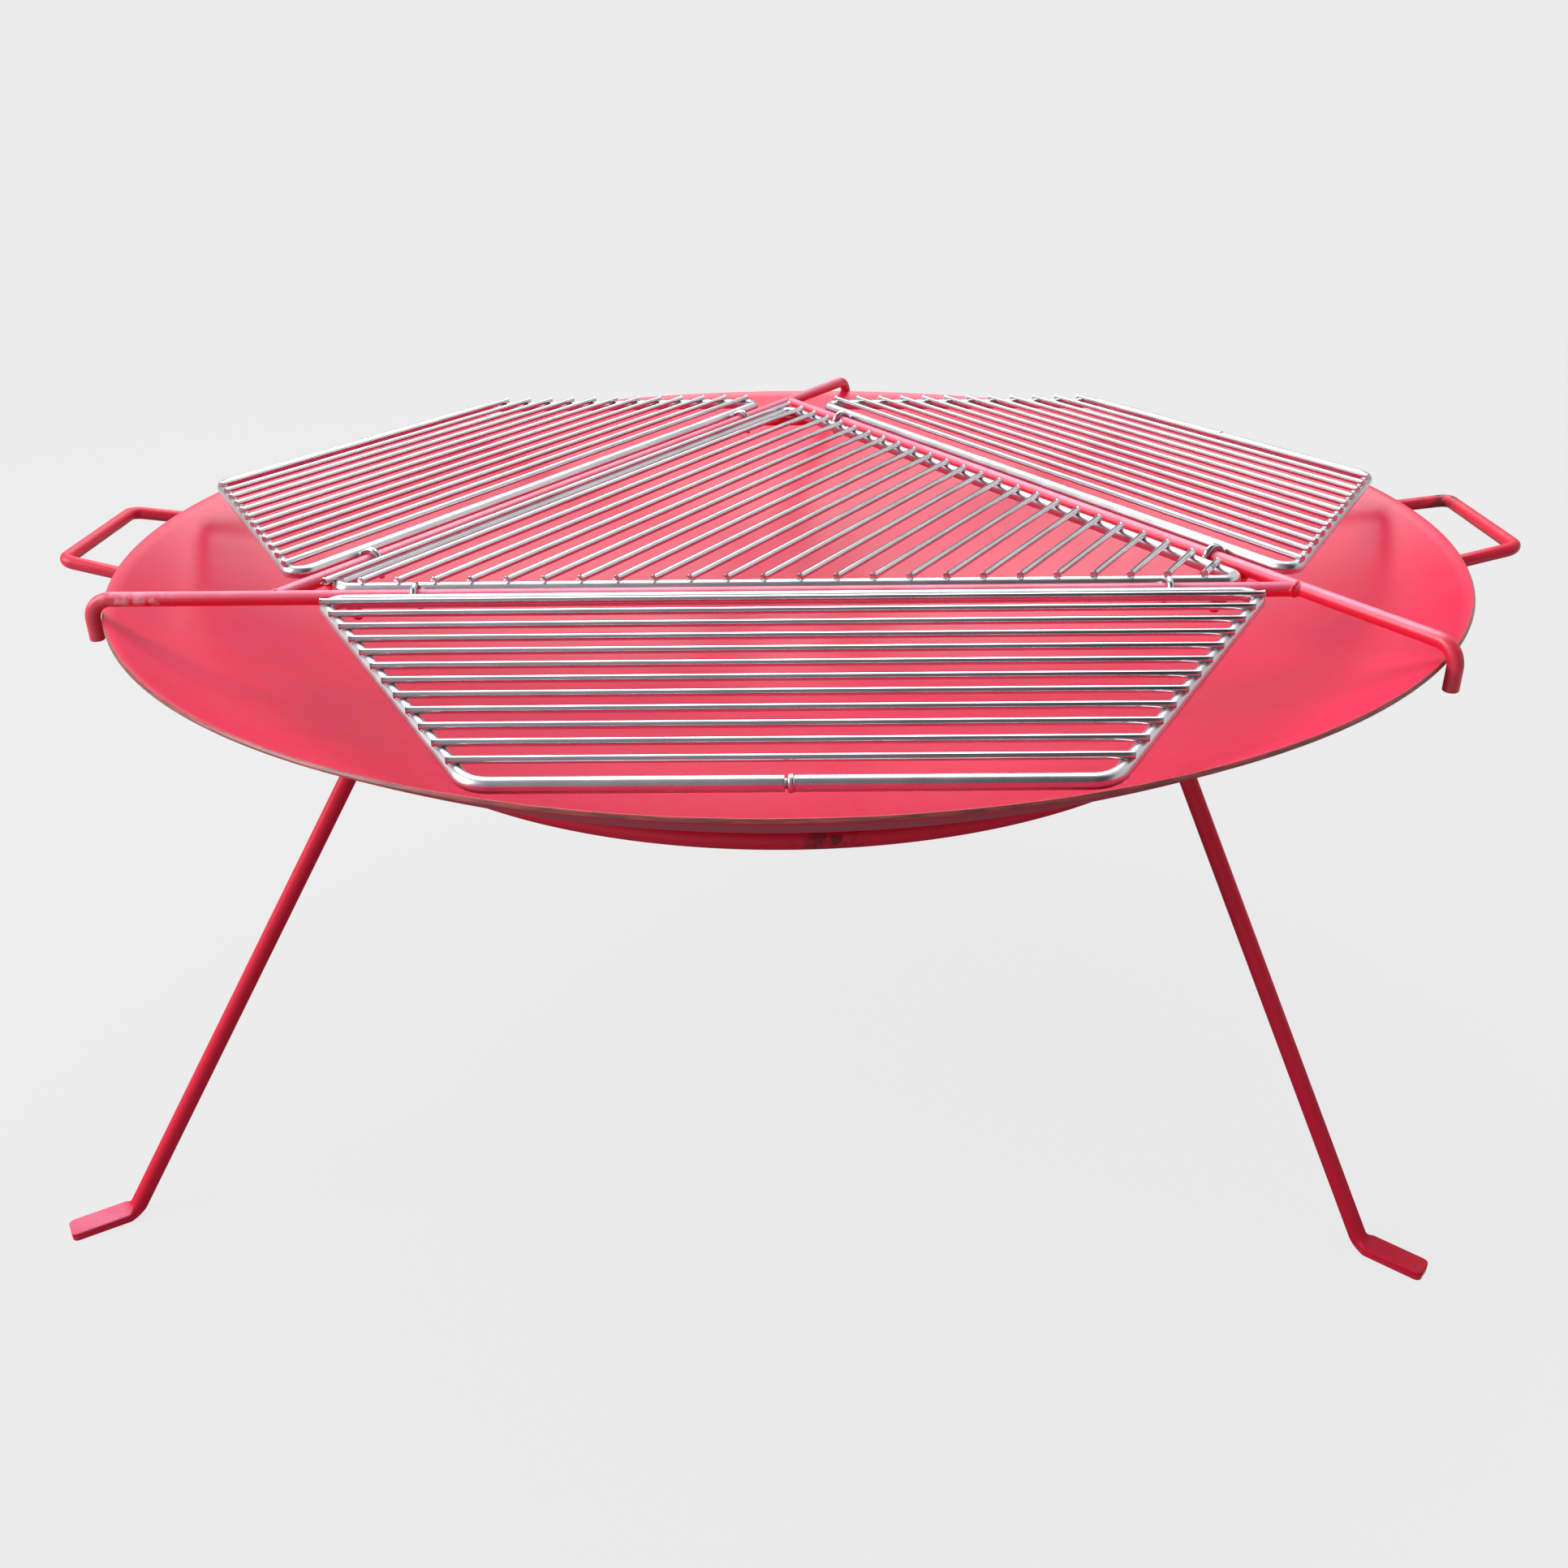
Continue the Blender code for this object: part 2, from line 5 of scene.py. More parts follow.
import bpy
import numpy as np
from mathutils import Matrix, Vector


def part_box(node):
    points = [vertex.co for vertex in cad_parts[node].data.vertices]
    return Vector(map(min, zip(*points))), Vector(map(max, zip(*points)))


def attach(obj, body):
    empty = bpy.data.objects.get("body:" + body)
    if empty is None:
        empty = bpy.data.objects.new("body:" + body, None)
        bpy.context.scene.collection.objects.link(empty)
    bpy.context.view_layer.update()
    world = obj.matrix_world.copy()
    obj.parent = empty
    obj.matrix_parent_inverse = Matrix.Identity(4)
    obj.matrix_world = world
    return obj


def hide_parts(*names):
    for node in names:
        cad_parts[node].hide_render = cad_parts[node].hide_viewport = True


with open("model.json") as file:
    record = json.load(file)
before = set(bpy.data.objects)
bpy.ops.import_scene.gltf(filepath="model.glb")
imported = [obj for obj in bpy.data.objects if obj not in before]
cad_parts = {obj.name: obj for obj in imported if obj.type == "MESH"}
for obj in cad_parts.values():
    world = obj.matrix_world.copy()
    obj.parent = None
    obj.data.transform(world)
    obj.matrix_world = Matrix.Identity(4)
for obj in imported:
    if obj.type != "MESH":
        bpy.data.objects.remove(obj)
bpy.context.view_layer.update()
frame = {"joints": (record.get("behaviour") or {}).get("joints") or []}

# Stand ring: one length of round steel bar 14.5 mm thick, rolled to a circle and butt welded.
# It is painted red with its legs, and the dish lies in it without any fastening.
dish_low, dish_high = (np.array(corner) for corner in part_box("fire_bowl"))
ring_low, ring_high = (np.array(corner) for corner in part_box("stand_ring"))
pit_axis = np.array([(dish_low[0] + dish_high[0]) / 2, (dish_low[1] + dish_high[1]) / 2, 0.0])
rim_top = dish_high[2]
RING_BAR = 0.0145
RING_RADIUS = 0.3455
RING_DROP = 0.0012
ring_height = (ring_low[2] + ring_high[2]) / 2 - RING_DROP
UPWARD = np.array([0.0, 0.0, 1.0])


def unit(vectors):
    """Each vector over its own length."""
    return vectors / np.linalg.norm(vectors, axis=-1, keepdims=True)


def lengths_along(path):
    """Length of the path up to each of its points: the sum of the steps before it."""
    return np.concatenate([[0.0], np.cumsum(np.linalg.norm(np.diff(path, axis=0), axis=1))])


def swept_bar(path, up, radius, sides=24, looped=False, chamfer=0.0):
    """Round bar along a path: point = path + radius * (side * cos t + top * sin t).

    side is the path's direction crossed with up, and top is side crossed with the direction.
    radius may be one number or one for each point, and a chamfer narrows both ends. Returns the
    rows of points, and where each lies in the straight bar before it was bent: length, cos, sin.
    """
    path = np.asarray(path, float)
    radius = np.broadcast_to(np.asarray(radius, float), len(path))
    if chamfer:
        first = path[0] + unit(path[1] - path[0]) * chamfer
        last = path[-1] + unit(path[-2] - path[-1]) * chamfer
        path = np.concatenate([path[:1], first[None], path[1:-1], last[None], path[-1:]])
        radius = np.concatenate([
            radius[:1] - chamfer, radius[:1], radius[1:-1], radius[-1:], radius[-1:] - chamfer
        ])
    if looped:
        direction = unit(np.roll(path, -1, axis=0) - np.roll(path, 1, axis=0))
    else:
        direction = unit(np.gradient(path, axis=0))
    side = unit(np.cross(direction, np.broadcast_to(up, path.shape)))
    top = np.cross(side, direction)
    angle = 2 * np.pi * np.arange(sides) / sides - np.pi / 2
    round_about = side[:, None] * np.cos(angle)[:, None] + top[:, None] * np.sin(angle)[:, None]
    rows = path[:, None] + radius[:, None, None] * round_about
    along = lengths_along(path)
    straight = np.stack(np.broadcast_arrays(
        along[:, None],
        radius[:, None] * np.cos(angle),
        radius[:, None] * np.sin(angle),
    ), axis=-1)
    return rows, straight


def linked_object(name, data):
    """New object in the scene, at the origin."""
    thing = bpy.data.objects.new(name, data)
    bpy.context.scene.collection.objects.link(thing)
    return thing


def surface_piece(name, surfaces, material, body, looped=False, sharp=40.0):
    """One object from several grids of points, each (rows, straight), that rides on a CAD body.

    A grid's neighbouring points make quads, its rows close on themselves, and a flat face ends
    each side of a grid whose rows don't loop. Edges sharper than sharp degrees are shaded as edges.
    """
    points = []
    straights = []
    faces = []
    count = 0
    for rows, straight in surfaces:
        lengths, around = rows.shape[:2]
        i = np.arange(lengths if looped else lengths - 1)[:, None]
        j = np.arange(around)[None, :]
        here = count + i * around
        after = count + ((i + 1) % lengths) * around
        beside = (j + 1) % around
        quads = np.stack([here + j, after + j, after + beside, here + beside], axis=-1)
        faces += quads.reshape(-1, 4).tolist()
        if not looped:
            last = count + (lengths - 1) * around
            faces.append(list(range(count, count + around)))
            faces.append(list(range(last + around - 1, last - 1, -1)))
        points.append(rows.reshape(-1, 3))
        straights.append(straight.reshape(-1, 3))
        count += lengths * around
    mesh = bpy.data.meshes.new(name)
    mesh.from_pydata(np.concatenate(points).tolist(), [], faces)
    place = mesh.attributes.new("straight_bar", "FLOAT_VECTOR", "POINT")
    place.data.foreach_set("vector", np.concatenate(straights).astype(np.float32).ravel())
    mesh.materials.append(material)
    mesh.shade_smooth()
    mesh.set_sharp_from_angle(angle=np.radians(sharp))
    piece = linked_object(name, mesh)
    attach(piece, body)
    return piece


def new_material(name):
    """New material, with its node tree and its main shader."""
    material = bpy.data.materials.new(name)
    material.use_nodes = True
    tree = material.node_tree
    return material, tree, tree.nodes["Principled BSDF"]


def object_place(tree):
    """Each point's place in metres."""
    return tree.nodes.new("ShaderNodeTexCoord").outputs["Object"]


def add_noise(tree, place, scale, detail=3.0):
    """Cloudy noise round 0.5, with about scale clouds for each step of 1 in the place."""
    noise = tree.nodes.new("ShaderNodeTexNoise")
    noise.inputs["Scale"].default_value = scale
    noise.inputs["Detail"].default_value = detail
    noise.inputs["Roughness"].default_value = 0.55
    tree.links.new(place, noise.inputs["Vector"])
    return noise.outputs["Fac"]


def add_range(tree, value, low, high, new_low, new_high):
    """The value's stretch from low to high turned into new_low to new_high, and held beyond it."""
    node = tree.nodes.new("ShaderNodeMapRange")
    sockets = ("From Min", "From Max", "To Min", "To Max")
    for socket, number in zip(sockets, (low, high, new_low, new_high)):
        node.inputs[socket].default_value = number
    tree.links.new(value, node.inputs["Value"])
    return node.outputs["Result"]


def add_mix(tree, share, first, second):
    """Colour between first and second; each is a colour or a socket."""
    node = tree.nodes.new("ShaderNodeMix")
    node.data_type = "RGBA"
    tree.links.new(share, node.inputs["Factor"])
    for socket, colour in ((node.inputs[6], first), (node.inputs[7], second)):
        if isinstance(colour, tuple):
            socket.default_value = (*colour, 1.0)
        else:
            tree.links.new(colour, socket)
    return node.outputs[2]


def add_math(tree, operation, first, second):
    """The operation on first and second; each is a number or a socket."""
    node = tree.nodes.new("ShaderNodeMath")
    node.operation = operation
    for socket, value in zip(node.inputs, (first, second)):
        if isinstance(value, (int, float)):
            socket.default_value = value
        else:
            tree.links.new(value, socket)
    return node.outputs[0]


def add_spot(tree, place, centre, reach):
    """1 at the centre, down to 0 at its reach, with an edge broken up by noise."""
    away = tree.nodes.new("ShaderNodeVectorMath")
    away.operation = "DISTANCE"
    away.inputs[1].default_value = centre
    tree.links.new(place, away.inputs[0])
    fade = add_range(tree, away.outputs["Value"], 0.25 * reach, reach, 1.0, 0.0)
    broken = add_range(tree, add_noise(tree, place, 160.0, detail=4.0), 0.42, 0.58, 0.0, 1.0)
    return add_math(tree, "MULTIPLY", fade, broken)


def add_bump(tree, shader, height, distance, strength):
    """Shading as if the surface rose by the distance where the height goes from 0 to 1."""
    bump = tree.nodes.new("ShaderNodeBump")
    bump.inputs["Distance"].default_value = distance
    bump.inputs["Strength"].default_value = strength
    tree.links.new(height, bump.inputs["Height"])
    tree.links.new(bump.outputs["Normal"], shader.inputs["Normal"])


RED = (0.78, 0.016, 0.056)
DEEP_RED = (0.74, 0.012, 0.047)
WORN_PINK = (0.80, 0.34, 0.38)
SCUFF_BROWN = (0.09, 0.035, 0.03)
RING_SMUDGE = (0.25, 0.016, 0.026)
RING_SMUDGE_PLACE = (0.028, -RING_RADIUS - 0.006, 0.0)
RING_SMUDGE_REACH = 0.026


def red_paint(
    name, worn=(), scuffed=(), scuff=SCUFF_BROWN, shades=(RED, DEEP_RED),
    grain=0.45, roughness=(0.36, 0.46), gloss=0.2,
):
    """Red paint with a fine grain, a little uneven, with worn and scuffed spots at (centre, reach)."""
    material, tree, shader = new_material(name)
    place = object_place(tree)
    clouds = add_range(tree, add_noise(tree, place, 7.0), 0.35, 0.65, 0.0, 1.0)
    colour = add_mix(tree, clouds, *shades)
    for centre, reach in worn:
        colour = add_mix(tree, add_spot(tree, place, centre, reach), colour, WORN_PINK)
    for centre, reach in scuffed:
        colour = add_mix(tree, add_spot(tree, place, centre, reach), colour, scuff)
    tree.links.new(colour, shader.inputs["Base Color"])
    shader.inputs["Specular IOR Level"].default_value = gloss
    patches = add_noise(tree, place, 40.0, detail=4.0)
    tree.links.new(add_range(tree, patches, 0.3, 0.7, *roughness), shader.inputs["Roughness"])
    if grain:
        add_bump(tree, shader, add_noise(tree, place, 900.0, detail=2.0), 0.0002, grain)
    return material


def circle_about(centre, radius, steps):
    """Level circle: centre + radius * (cos t, sin t, 0)."""
    angle = 2 * np.pi * np.arange(steps) / steps
    return centre + radius * np.stack([np.cos(angle), np.sin(angle), 0 * angle], axis=1)


ring_centre = pit_axis + UPWARD * ring_height
ring_paint = red_paint(
    "stand_ring_paint",
    scuffed=[(tuple(ring_centre + RING_SMUDGE_PLACE), RING_SMUDGE_REACH)],
    scuff=RING_SMUDGE,
)
ring = surface_piece(
    "stand_ring_bar",
    [swept_bar(circle_about(ring_centre, RING_RADIUS, 240), UPWARD, RING_BAR / 2)],
    ring_paint,
    "stand",
    looped=True,
)
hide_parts("stand_ring")

# Legs: three lengths of 12 mm round bar, coped and welded under the ring, splayed, and hammered
# flat at the lower end as a foot. Bent by hand, each has its own spread, from the stand's axis to
# the ankle, and its own direction. The left foot's flat top is painted pale pink as a sheen of light.
LEGS = (
    ("leg_front_left", 0.568, -148.2),
    ("leg_front_right", 0.526, -39.9),
    ("leg_rear", 0.547, 86.0),
)
LEG_BAR = 0.012
LEG_BEND = 0.010
FOOT_LENGTH = 0.045
FOOT_WIDTH = 0.018
FOOT_THICKNESS = 0.007
FOOT_TIP_ROUND = 0.004
FOOT_SQUARENESS = 0.78
FLAT_START = 0.04
FLAT_EASE = 1.8
LEG_SIDES = 48
COPE_STEPS = 64
# Painted sheen on the left foot's flat top: it rises over this stretch of the section's height, past the
# ankle.
FOOT_SHEEN = (0.30 * FOOT_THICKNESS, 0.45 * FOOT_THICKNESS)
FOOT_SHEEN_FADE = 0.008
# Painted sheen: the pale pink that stands for light on the upper faces of the left foot and the bars.
SHEEN_PINK = (0.82, 0.22, 0.36)
WELD_RADIUS = 0.0022
WELD_PITCH = 0.0032
WELD_RIPPLE = 0.14
LEG_WELD_RISE = 0.0004


def turned(points, angle):
    """Points turned about the upright axis through the origin."""
    cos, sin = np.cos(angle), np.sin(angle)
    return np.asarray(points) @ np.array([[cos, sin, 0.0], [-sin, cos, 0.0], [0.0, 0.0, 1.0]])


def bent_path(corners, bend, steps=12, looped=False):
    """Straight runs between corners, with an arc at each: centre + first * cos t + second * sin t.

    bend is the arcs' radius, one number or one for each corner.
    """
    corners = np.asarray(corners, float)
    bends = np.broadcast_to(bend, len(corners))
    parts = []
    for index, corner in enumerate(corners):
        if not looped and index in (0, len(corners) - 1):
            parts.append(corner[None])
            continue
        back = unit(corners[index - 1] - corner)
        ahead = unit(corners[(index + 1) % len(corners)] - corner)
        bend = bends[index]
        half = np.arccos(back @ ahead) / 2
        centre = corner + unit(back + ahead) * bend / np.sin(half)
        first = corner + back * bend / np.tan(half) - centre
        last = corner + ahead * bend / np.tan(half) - centre
        turn = np.pi - 2 * half
        second = (last - first * np.cos(turn)) / np.sin(turn)
        angle = np.linspace(0, turn, steps + 1)[:, None]
        parts.append(centre + first * np.cos(angle) + second * np.sin(angle))
    return np.concatenate(parts)


def leg_rows(spread):
    """A leg that points along +X from the stand's axis, with its ankle at the spread.

    Its section goes from a circle to a flat bar: across = half width * |cos t|^p and
    up = half thickness * |sin t|^p with their signs, where p falls from 1 by FOOT_SQUARENESS.
    """
    top = np.array([RING_RADIUS, 0.0, ring_height])
    ankle = np.array([spread, 0.0, FOOT_THICKNESS / 2])
    toe = ankle + (FOOT_LENGTH, 0.0, 0.0)
    bend = bent_path([top, ankle, toe], LEG_BEND, steps=14)[1:-1]
    tip_turn = np.radians([0, 25, 50, 70, 85])
    tip = toe - np.outer(FOOT_TIP_ROUND * (1 - np.sin(tip_turn)), (1.0, 0.0, 0.0))
    before_bend = bend[0] + unit(top - ankle) * np.array([[0.03], [0.006]])
    path = np.concatenate([top[None], before_bend, bend, tip])
    flattening = FLAT_START + (1 - FLAT_START) * np.linspace(0, 1, len(bend)) ** FLAT_EASE
    flatness = np.concatenate([np.zeros(2), [FLAT_START], flattening, np.ones(len(tip))])
    half_width = LEG_BAR / 2 + flatness * (FOOT_WIDTH - LEG_BAR) / 2
    half_width[-len(tip):] -= FOOT_TIP_ROUND * (1 - np.cos(tip_turn))
    half_thickness = LEG_BAR / 2 + flatness * (FOOT_THICKNESS - LEG_BAR) / 2
    power = 1 - FOOT_SQUARENESS * flatness
    angle = 2 * np.pi * (np.arange(LEG_SIDES) + 0.5) / LEG_SIDES
    cos, sin = np.cos(angle), np.sin(angle)
    across = half_width[:, None] * np.sign(cos) * np.abs(cos) ** power[:, None]
    up = half_thickness[:, None] * np.sign(sin) * np.abs(sin) ** power[:, None]
    direction = unit(np.gradient(path, axis=0))
    direction[-len(tip):] = (1.0, 0.0, 0.0)
    side = np.array([0.0, -1.0, 0.0])
    top_side = np.cross(side, direction)
    rows = path[:, None] + across[..., None] * side + up[..., None] * top_side[:, None]
    along = lengths_along(path)
    straight = np.stack(np.broadcast_arrays(along[:, None], across, up), axis=-1)
    return rows, straight


def weld_bead(path, outward, bead=WELD_RADIUS):
    """Bead along a weld: its radius is bead * (1 + WELD_RIPPLE * sin t), one ripple for each pitch."""
    path = np.asarray(path, float)
    along = lengths_along(path)
    ripples = max(1, round(along[-1] / WELD_PITCH))
    radius = bead * (1 + WELD_RIPPLE * np.sin(2 * np.pi * ripples * along / along[-1]))
    return swept_bar(path, outward, radius, sides=10, looped=True)


def cope_line(centre, direction, axis, bar_radius, other_radius):
    """Where a round bar that leaves the centre along direction comes out of a bar along axis.

    At the angle t round the bar, the line's distance along it is the root of
    other_radius^2 - (bar_radius * sin t)^2, over the sine of the angle between the two bars.
    """
    direction = unit(np.asarray(direction, float))
    axis = unit(np.asarray(axis, float))
    square = unit(np.cross(direction, axis))
    level = np.cross(square, direction)
    slant = np.linalg.norm(np.cross(direction, axis))
    angle = 2 * np.pi * np.arange(COPE_STEPS) / COPE_STEPS
    around = np.cos(angle)[:, None] * level + np.sin(angle)[:, None] * square
    reach = np.sqrt(np.maximum(other_radius**2 - (bar_radius * np.sin(angle)) ** 2, 0.0))
    beside = bar_radius * np.cos(angle) * (level @ np.cross(square, axis))
    return centre + bar_radius * around + direction * ((reach - beside) / slant)[:, None]


def add_attribute(tree, name, output):
    """A number or a vector that each point of the mesh carries under this name."""
    node = tree.nodes.new("ShaderNodeAttribute")
    node.attribute_name = name
    return node.outputs[output]


def add_painted_sheen(material, axis, start, full, bend, straightened):
    """Painted sheen: pale pink where the straight bar's axis goes from start to full, past the bend."""
    tree = material.node_tree
    shader = tree.nodes["Principled BSDF"]
    paint_colour = shader.inputs["Base Color"].links[0].from_socket
    split = tree.nodes.new("ShaderNodeSeparateXYZ")
    tree.links.new(add_attribute(tree, "straight_bar", "Vector"), split.inputs["Vector"])
    upper = add_range(tree, split.outputs[axis], start, full, 0.0, 1.0)
    past_bend = add_range(tree, split.outputs["X"], bend, straightened, 0.0, 1.0)
    noise = add_noise(tree, object_place(tree), 30.0, detail=4.0)
    clouds = add_range(tree, noise, 0.30, 0.70, 0.45, 0.95)
    # Share of painted sheen: upper faces past the bend, broken up by clouds.
    sheen_share = add_math(tree, "MULTIPLY", add_math(tree, "MULTIPLY", upper, past_bend), clouds)
    tree.links.new(add_mix(tree, sheen_share, paint_colour, SHEEN_PINK), shader.inputs["Base Color"])


for leg_name, spread, from_x in LEGS:
    leg_paint = red_paint(leg_name + "_paint")
    leg_angle = np.radians(from_x)
    leg_direction = unit(np.array([spread - RING_RADIUS, 0.0, FOOT_THICKNESS / 2 - ring_height]))
    rows, straight = leg_rows(spread)
    # Painted sheen: only the front-left foot's flat top gets the pale pink of light.
    if leg_name == "leg_front_left":
        ankle_along = straight[-1, 0, 0] - FOOT_LENGTH
        add_painted_sheen(leg_paint, "Z", *FOOT_SHEEN, ankle_along, ankle_along + FOOT_SHEEN_FADE)
    leg = surface_piece(
        leg_name + "_bar", [(pit_axis + turned(rows, leg_angle), straight)],
        leg_paint, "stand", sharp=32.0,
    )
    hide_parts(leg_name)
    line = cope_line(
        np.array([RING_RADIUS, 0.0, ring_height]), leg_direction, (0.0, 1.0, 0.0),
        LEG_BAR / 2, RING_BAR / 2 + LEG_WELD_RISE,
    )
    bead_rows, bead_straight = weld_bead(line, leg_direction)
    weld = surface_piece(
        leg_name + "_weld", [(pit_axis + turned(bead_rows, leg_angle), bead_straight)],
        leg_paint, "stand", looped=True,
    )

# Dish: 3 mm sheet steel pressed as a shallow cap of a ball, with a cut edge that is left plain.
# Painted red inside and out; the paint on the cut edge is thin and has begun to rust through.
SHEET = 0.003
RIM_RADIUS = 0.500
DISH_DEPTH = 0.153
OUTER_BALL = (RIM_RADIUS**2 + DISH_DEPTH**2) / (2 * DISH_DEPTH)
INNER_BALL = OUTER_BALL - SHEET
rim_angle = np.arcsin(RIM_RADIUS / OUTER_BALL)
ball_centre = pit_axis + UPWARD * (rim_top + INNER_BALL * np.cos(rim_angle))
EDGE_ROUND = 0.0004
POLE_ANGLE = 0.001
ARC_STEPS = 60
EDGE_STEPS = 4
TURN_STEPS = 288
DISH_REDS = ((0.78, 0.013, 0.074), (0.74, 0.010, 0.064))
WIPED_RED = (0.62, 0.035, 0.075)
EDGE_RED = (0.42, 0.080, 0.075)
EDGE_RUST = (0.17, 0.055, 0.045)


def dish_rows():
    """Turned profile: a ball's arc out to the rim, a cut edge with small rounds, the outer arc back."""
    inner_angle = np.linspace(POLE_ANGLE, rim_angle - EDGE_ROUND / INNER_BALL, ARC_STEPS)
    outer_angle = np.linspace(rim_angle - EDGE_ROUND / OUTER_BALL, POLE_ANGLE, ARC_STEPS)
    edge_radius = np.linspace(INNER_BALL + EDGE_ROUND, OUTER_BALL - EDGE_ROUND, EDGE_STEPS)
    angle = np.concatenate([inner_angle, np.full(EDGE_STEPS, rim_angle), outer_angle])
    radius = np.concatenate([
        np.full(ARC_STEPS, INNER_BALL), edge_radius, np.full(ARC_STEPS, OUTER_BALL)
    ])
    turn = np.pi / 2 + 2 * np.pi * np.arange(TURN_STEPS) / TURN_STEPS
    level = (radius * np.sin(angle))[:, None]
    height = (-radius * np.cos(angle))[:, None]
    rows = np.stack(np.broadcast_arrays(level * np.cos(turn), level * np.sin(turn), height), axis=-1)
    round_rim = np.stack(np.broadcast_arrays(RIM_RADIUS * turn, level, height), axis=-1)
    return ball_centre + rows, round_rim


def add_streaks(tree, scale, detail):
    """Noise drawn out along the surface, with the scale's clouds for each metre of its three ways."""
    node = tree.nodes.new("ShaderNodeMapping")
    node.inputs["Scale"].default_value = scale
    tree.links.new(add_attribute(tree, "straight_bar", "Vector"), node.inputs["Vector"])
    return add_noise(tree, node.outputs["Vector"], 1.0, detail=detail)


def dish_paint():
    """The red paint with faint wiped marks, and a brown and streaky edge where the sheet was cut.

    The marks and streaks follow round rim, outwards and height, which is what straight_bar holds here.
    """
    material = red_paint("dish_paint", shades=DISH_REDS, grain=0.0, roughness=(0.28, 0.32), gloss=0.4)
    tree = material.node_tree
    shader = tree.nodes["Principled BSDF"]
    paint_colour = shader.inputs["Base Color"].links[0].from_socket
    wiped = add_range(tree, add_streaks(tree, (22.0, 3.0, 1.0), 1.0), 0.45, 0.75, 0.0, 0.3)
    paint_colour = add_mix(tree, wiped, paint_colour, WIPED_RED)
    rust = add_range(tree, add_streaks(tree, (60.0, 700.0, 900.0), 4.0), 0.40, 0.60, 0.0, 1.0)
    edge_colour = add_mix(tree, rust, EDGE_RED, EDGE_RUST)
    colour = add_mix(tree, add_attribute(tree, "cut_edge", "Fac"), paint_colour, edge_colour)
    tree.links.new(colour, shader.inputs["Base Color"])
    return material


dish_grid, dish_round_rim = dish_rows()
dish = surface_piece("fire_bowl_sheet", [(dish_grid, dish_round_rim)], dish_paint(), "pan", sharp=60.0)
edge_mark = np.zeros(dish_grid.shape[:2], np.float32)
edge_mark[ARC_STEPS:ARC_STEPS + EDGE_STEPS] = 1.0
mark = dish.data.attributes.new("cut_edge", "FLOAT", "POINT")
mark.data.foreach_set("value", edge_mark.ravel())
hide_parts("fire_bowl")

# Carrying handles: 10 mm round bar bent to a loop, welded to the outside of the dish just under
# the rim, one on each side. The right one's paint is scuffed at its rear bend.
HANDLE_BAR = 0.010
HANDLE_REACH = 0.0445
HANDLE_HALF_LENGTH = 0.065
HANDLE_FLARE = 0.18
HANDLE_DROP = 0.005
HANDLE_SLOPE = np.radians(10)
HANDLE_BEND = 0.010
HANDLE_ROOT = 0.026
HANDLE_RUN_OUT = 0.03
HANDLE_WELD = 0.0020
HANDLE_WELD_OUT = 0.0006
HANDLE_SCUFF_REACH = 0.03


def onto_ball(points, direction, radius):
    """Each point moved along the direction to where that line enters the ball about ball_centre."""
    away = points - ball_centre
    half = away @ direction
    return points - (np.sqrt(half**2 - (away**2).sum(-1) + radius**2) + half)[..., None] * direction


def handle_surfaces(side):
    """The bar's rows, coped to the dish at both ends, and the two weld beads round its roots."""
    bar_x = RIM_RADIUS + HANDLE_REACH
    root_x = RIM_RADIUS - HANDLE_ROOT
    root_drop = HANDLE_DROP + (bar_x - root_x) * np.tan(HANDLE_SLOPE)
    root_y = HANDLE_HALF_LENGTH + (bar_x - root_x) * HANDLE_FLARE
    corners = np.array([
        (root_x, root_y, -root_drop),
        (bar_x, HANDLE_HALF_LENGTH, -HANDLE_DROP),
        (bar_x, -HANDLE_HALF_LENGTH, -HANDLE_DROP),
        (root_x, -root_y, -root_drop),
    ]) * (side, side, 1.0) + pit_axis + UPWARD * rim_top
    slope_up = unit(np.array([-side * np.sin(HANDLE_SLOPE), 0.0, np.cos(HANDLE_SLOPE)]))
    rows, straight = swept_bar(bent_path(corners, HANDLE_BEND), slope_up, HANDLE_BAR / 2)
    beads = []
    for end, after in ((0, 1), (-1, -2)):
        inward = unit(corners[end] - corners[after])
        rows[end] = onto_ball(rows[end] - inward * HANDLE_RUN_OUT, inward, OUTER_BALL)
        away = rows[end] - rows[end].mean(axis=0)
        beads.append(weld_bead(rows[end] + unit(away) * HANDLE_WELD_OUT, -inward, bead=HANDLE_WELD))
    return (rows, straight), beads


for handle_name, side in (("handle_right", 1.0), ("handle_left", -1.0)):
    bar, beads = handle_surfaces(side)
    far_bend = pit_axis + np.array([side * (RIM_RADIUS + HANDLE_REACH), HANDLE_HALF_LENGTH, rim_top])
    scuffs = [(tuple(far_bend), HANDLE_SCUFF_REACH)] if side > 0 else []
    paint = red_paint(handle_name + "_paint", scuffed=scuffs, gloss=0.35)
    handle = surface_piece(handle_name + "_bar", [bar], paint, "pan")
    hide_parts(handle_name)
    welds = surface_piece(handle_name + "_welds", beads, paint, "pan", looped=True)

# Bar frame: three 10 mm round bars across the dish as a pinwheel. Each is bent down over the rim
# at one end, and its other end is coped and welded to the side of the next bar. Their tops, which
# are the straight bar's -Y, are painted pale pink as a sheen of light.
ROD_BAR = 0.010
ROD_OFFSET = 0.1975
ROD_RISE = 0.010
ROD_BEND = 0.014
HOOK_DROP = 0.0285
HOOK_RADIUS = 0.5053
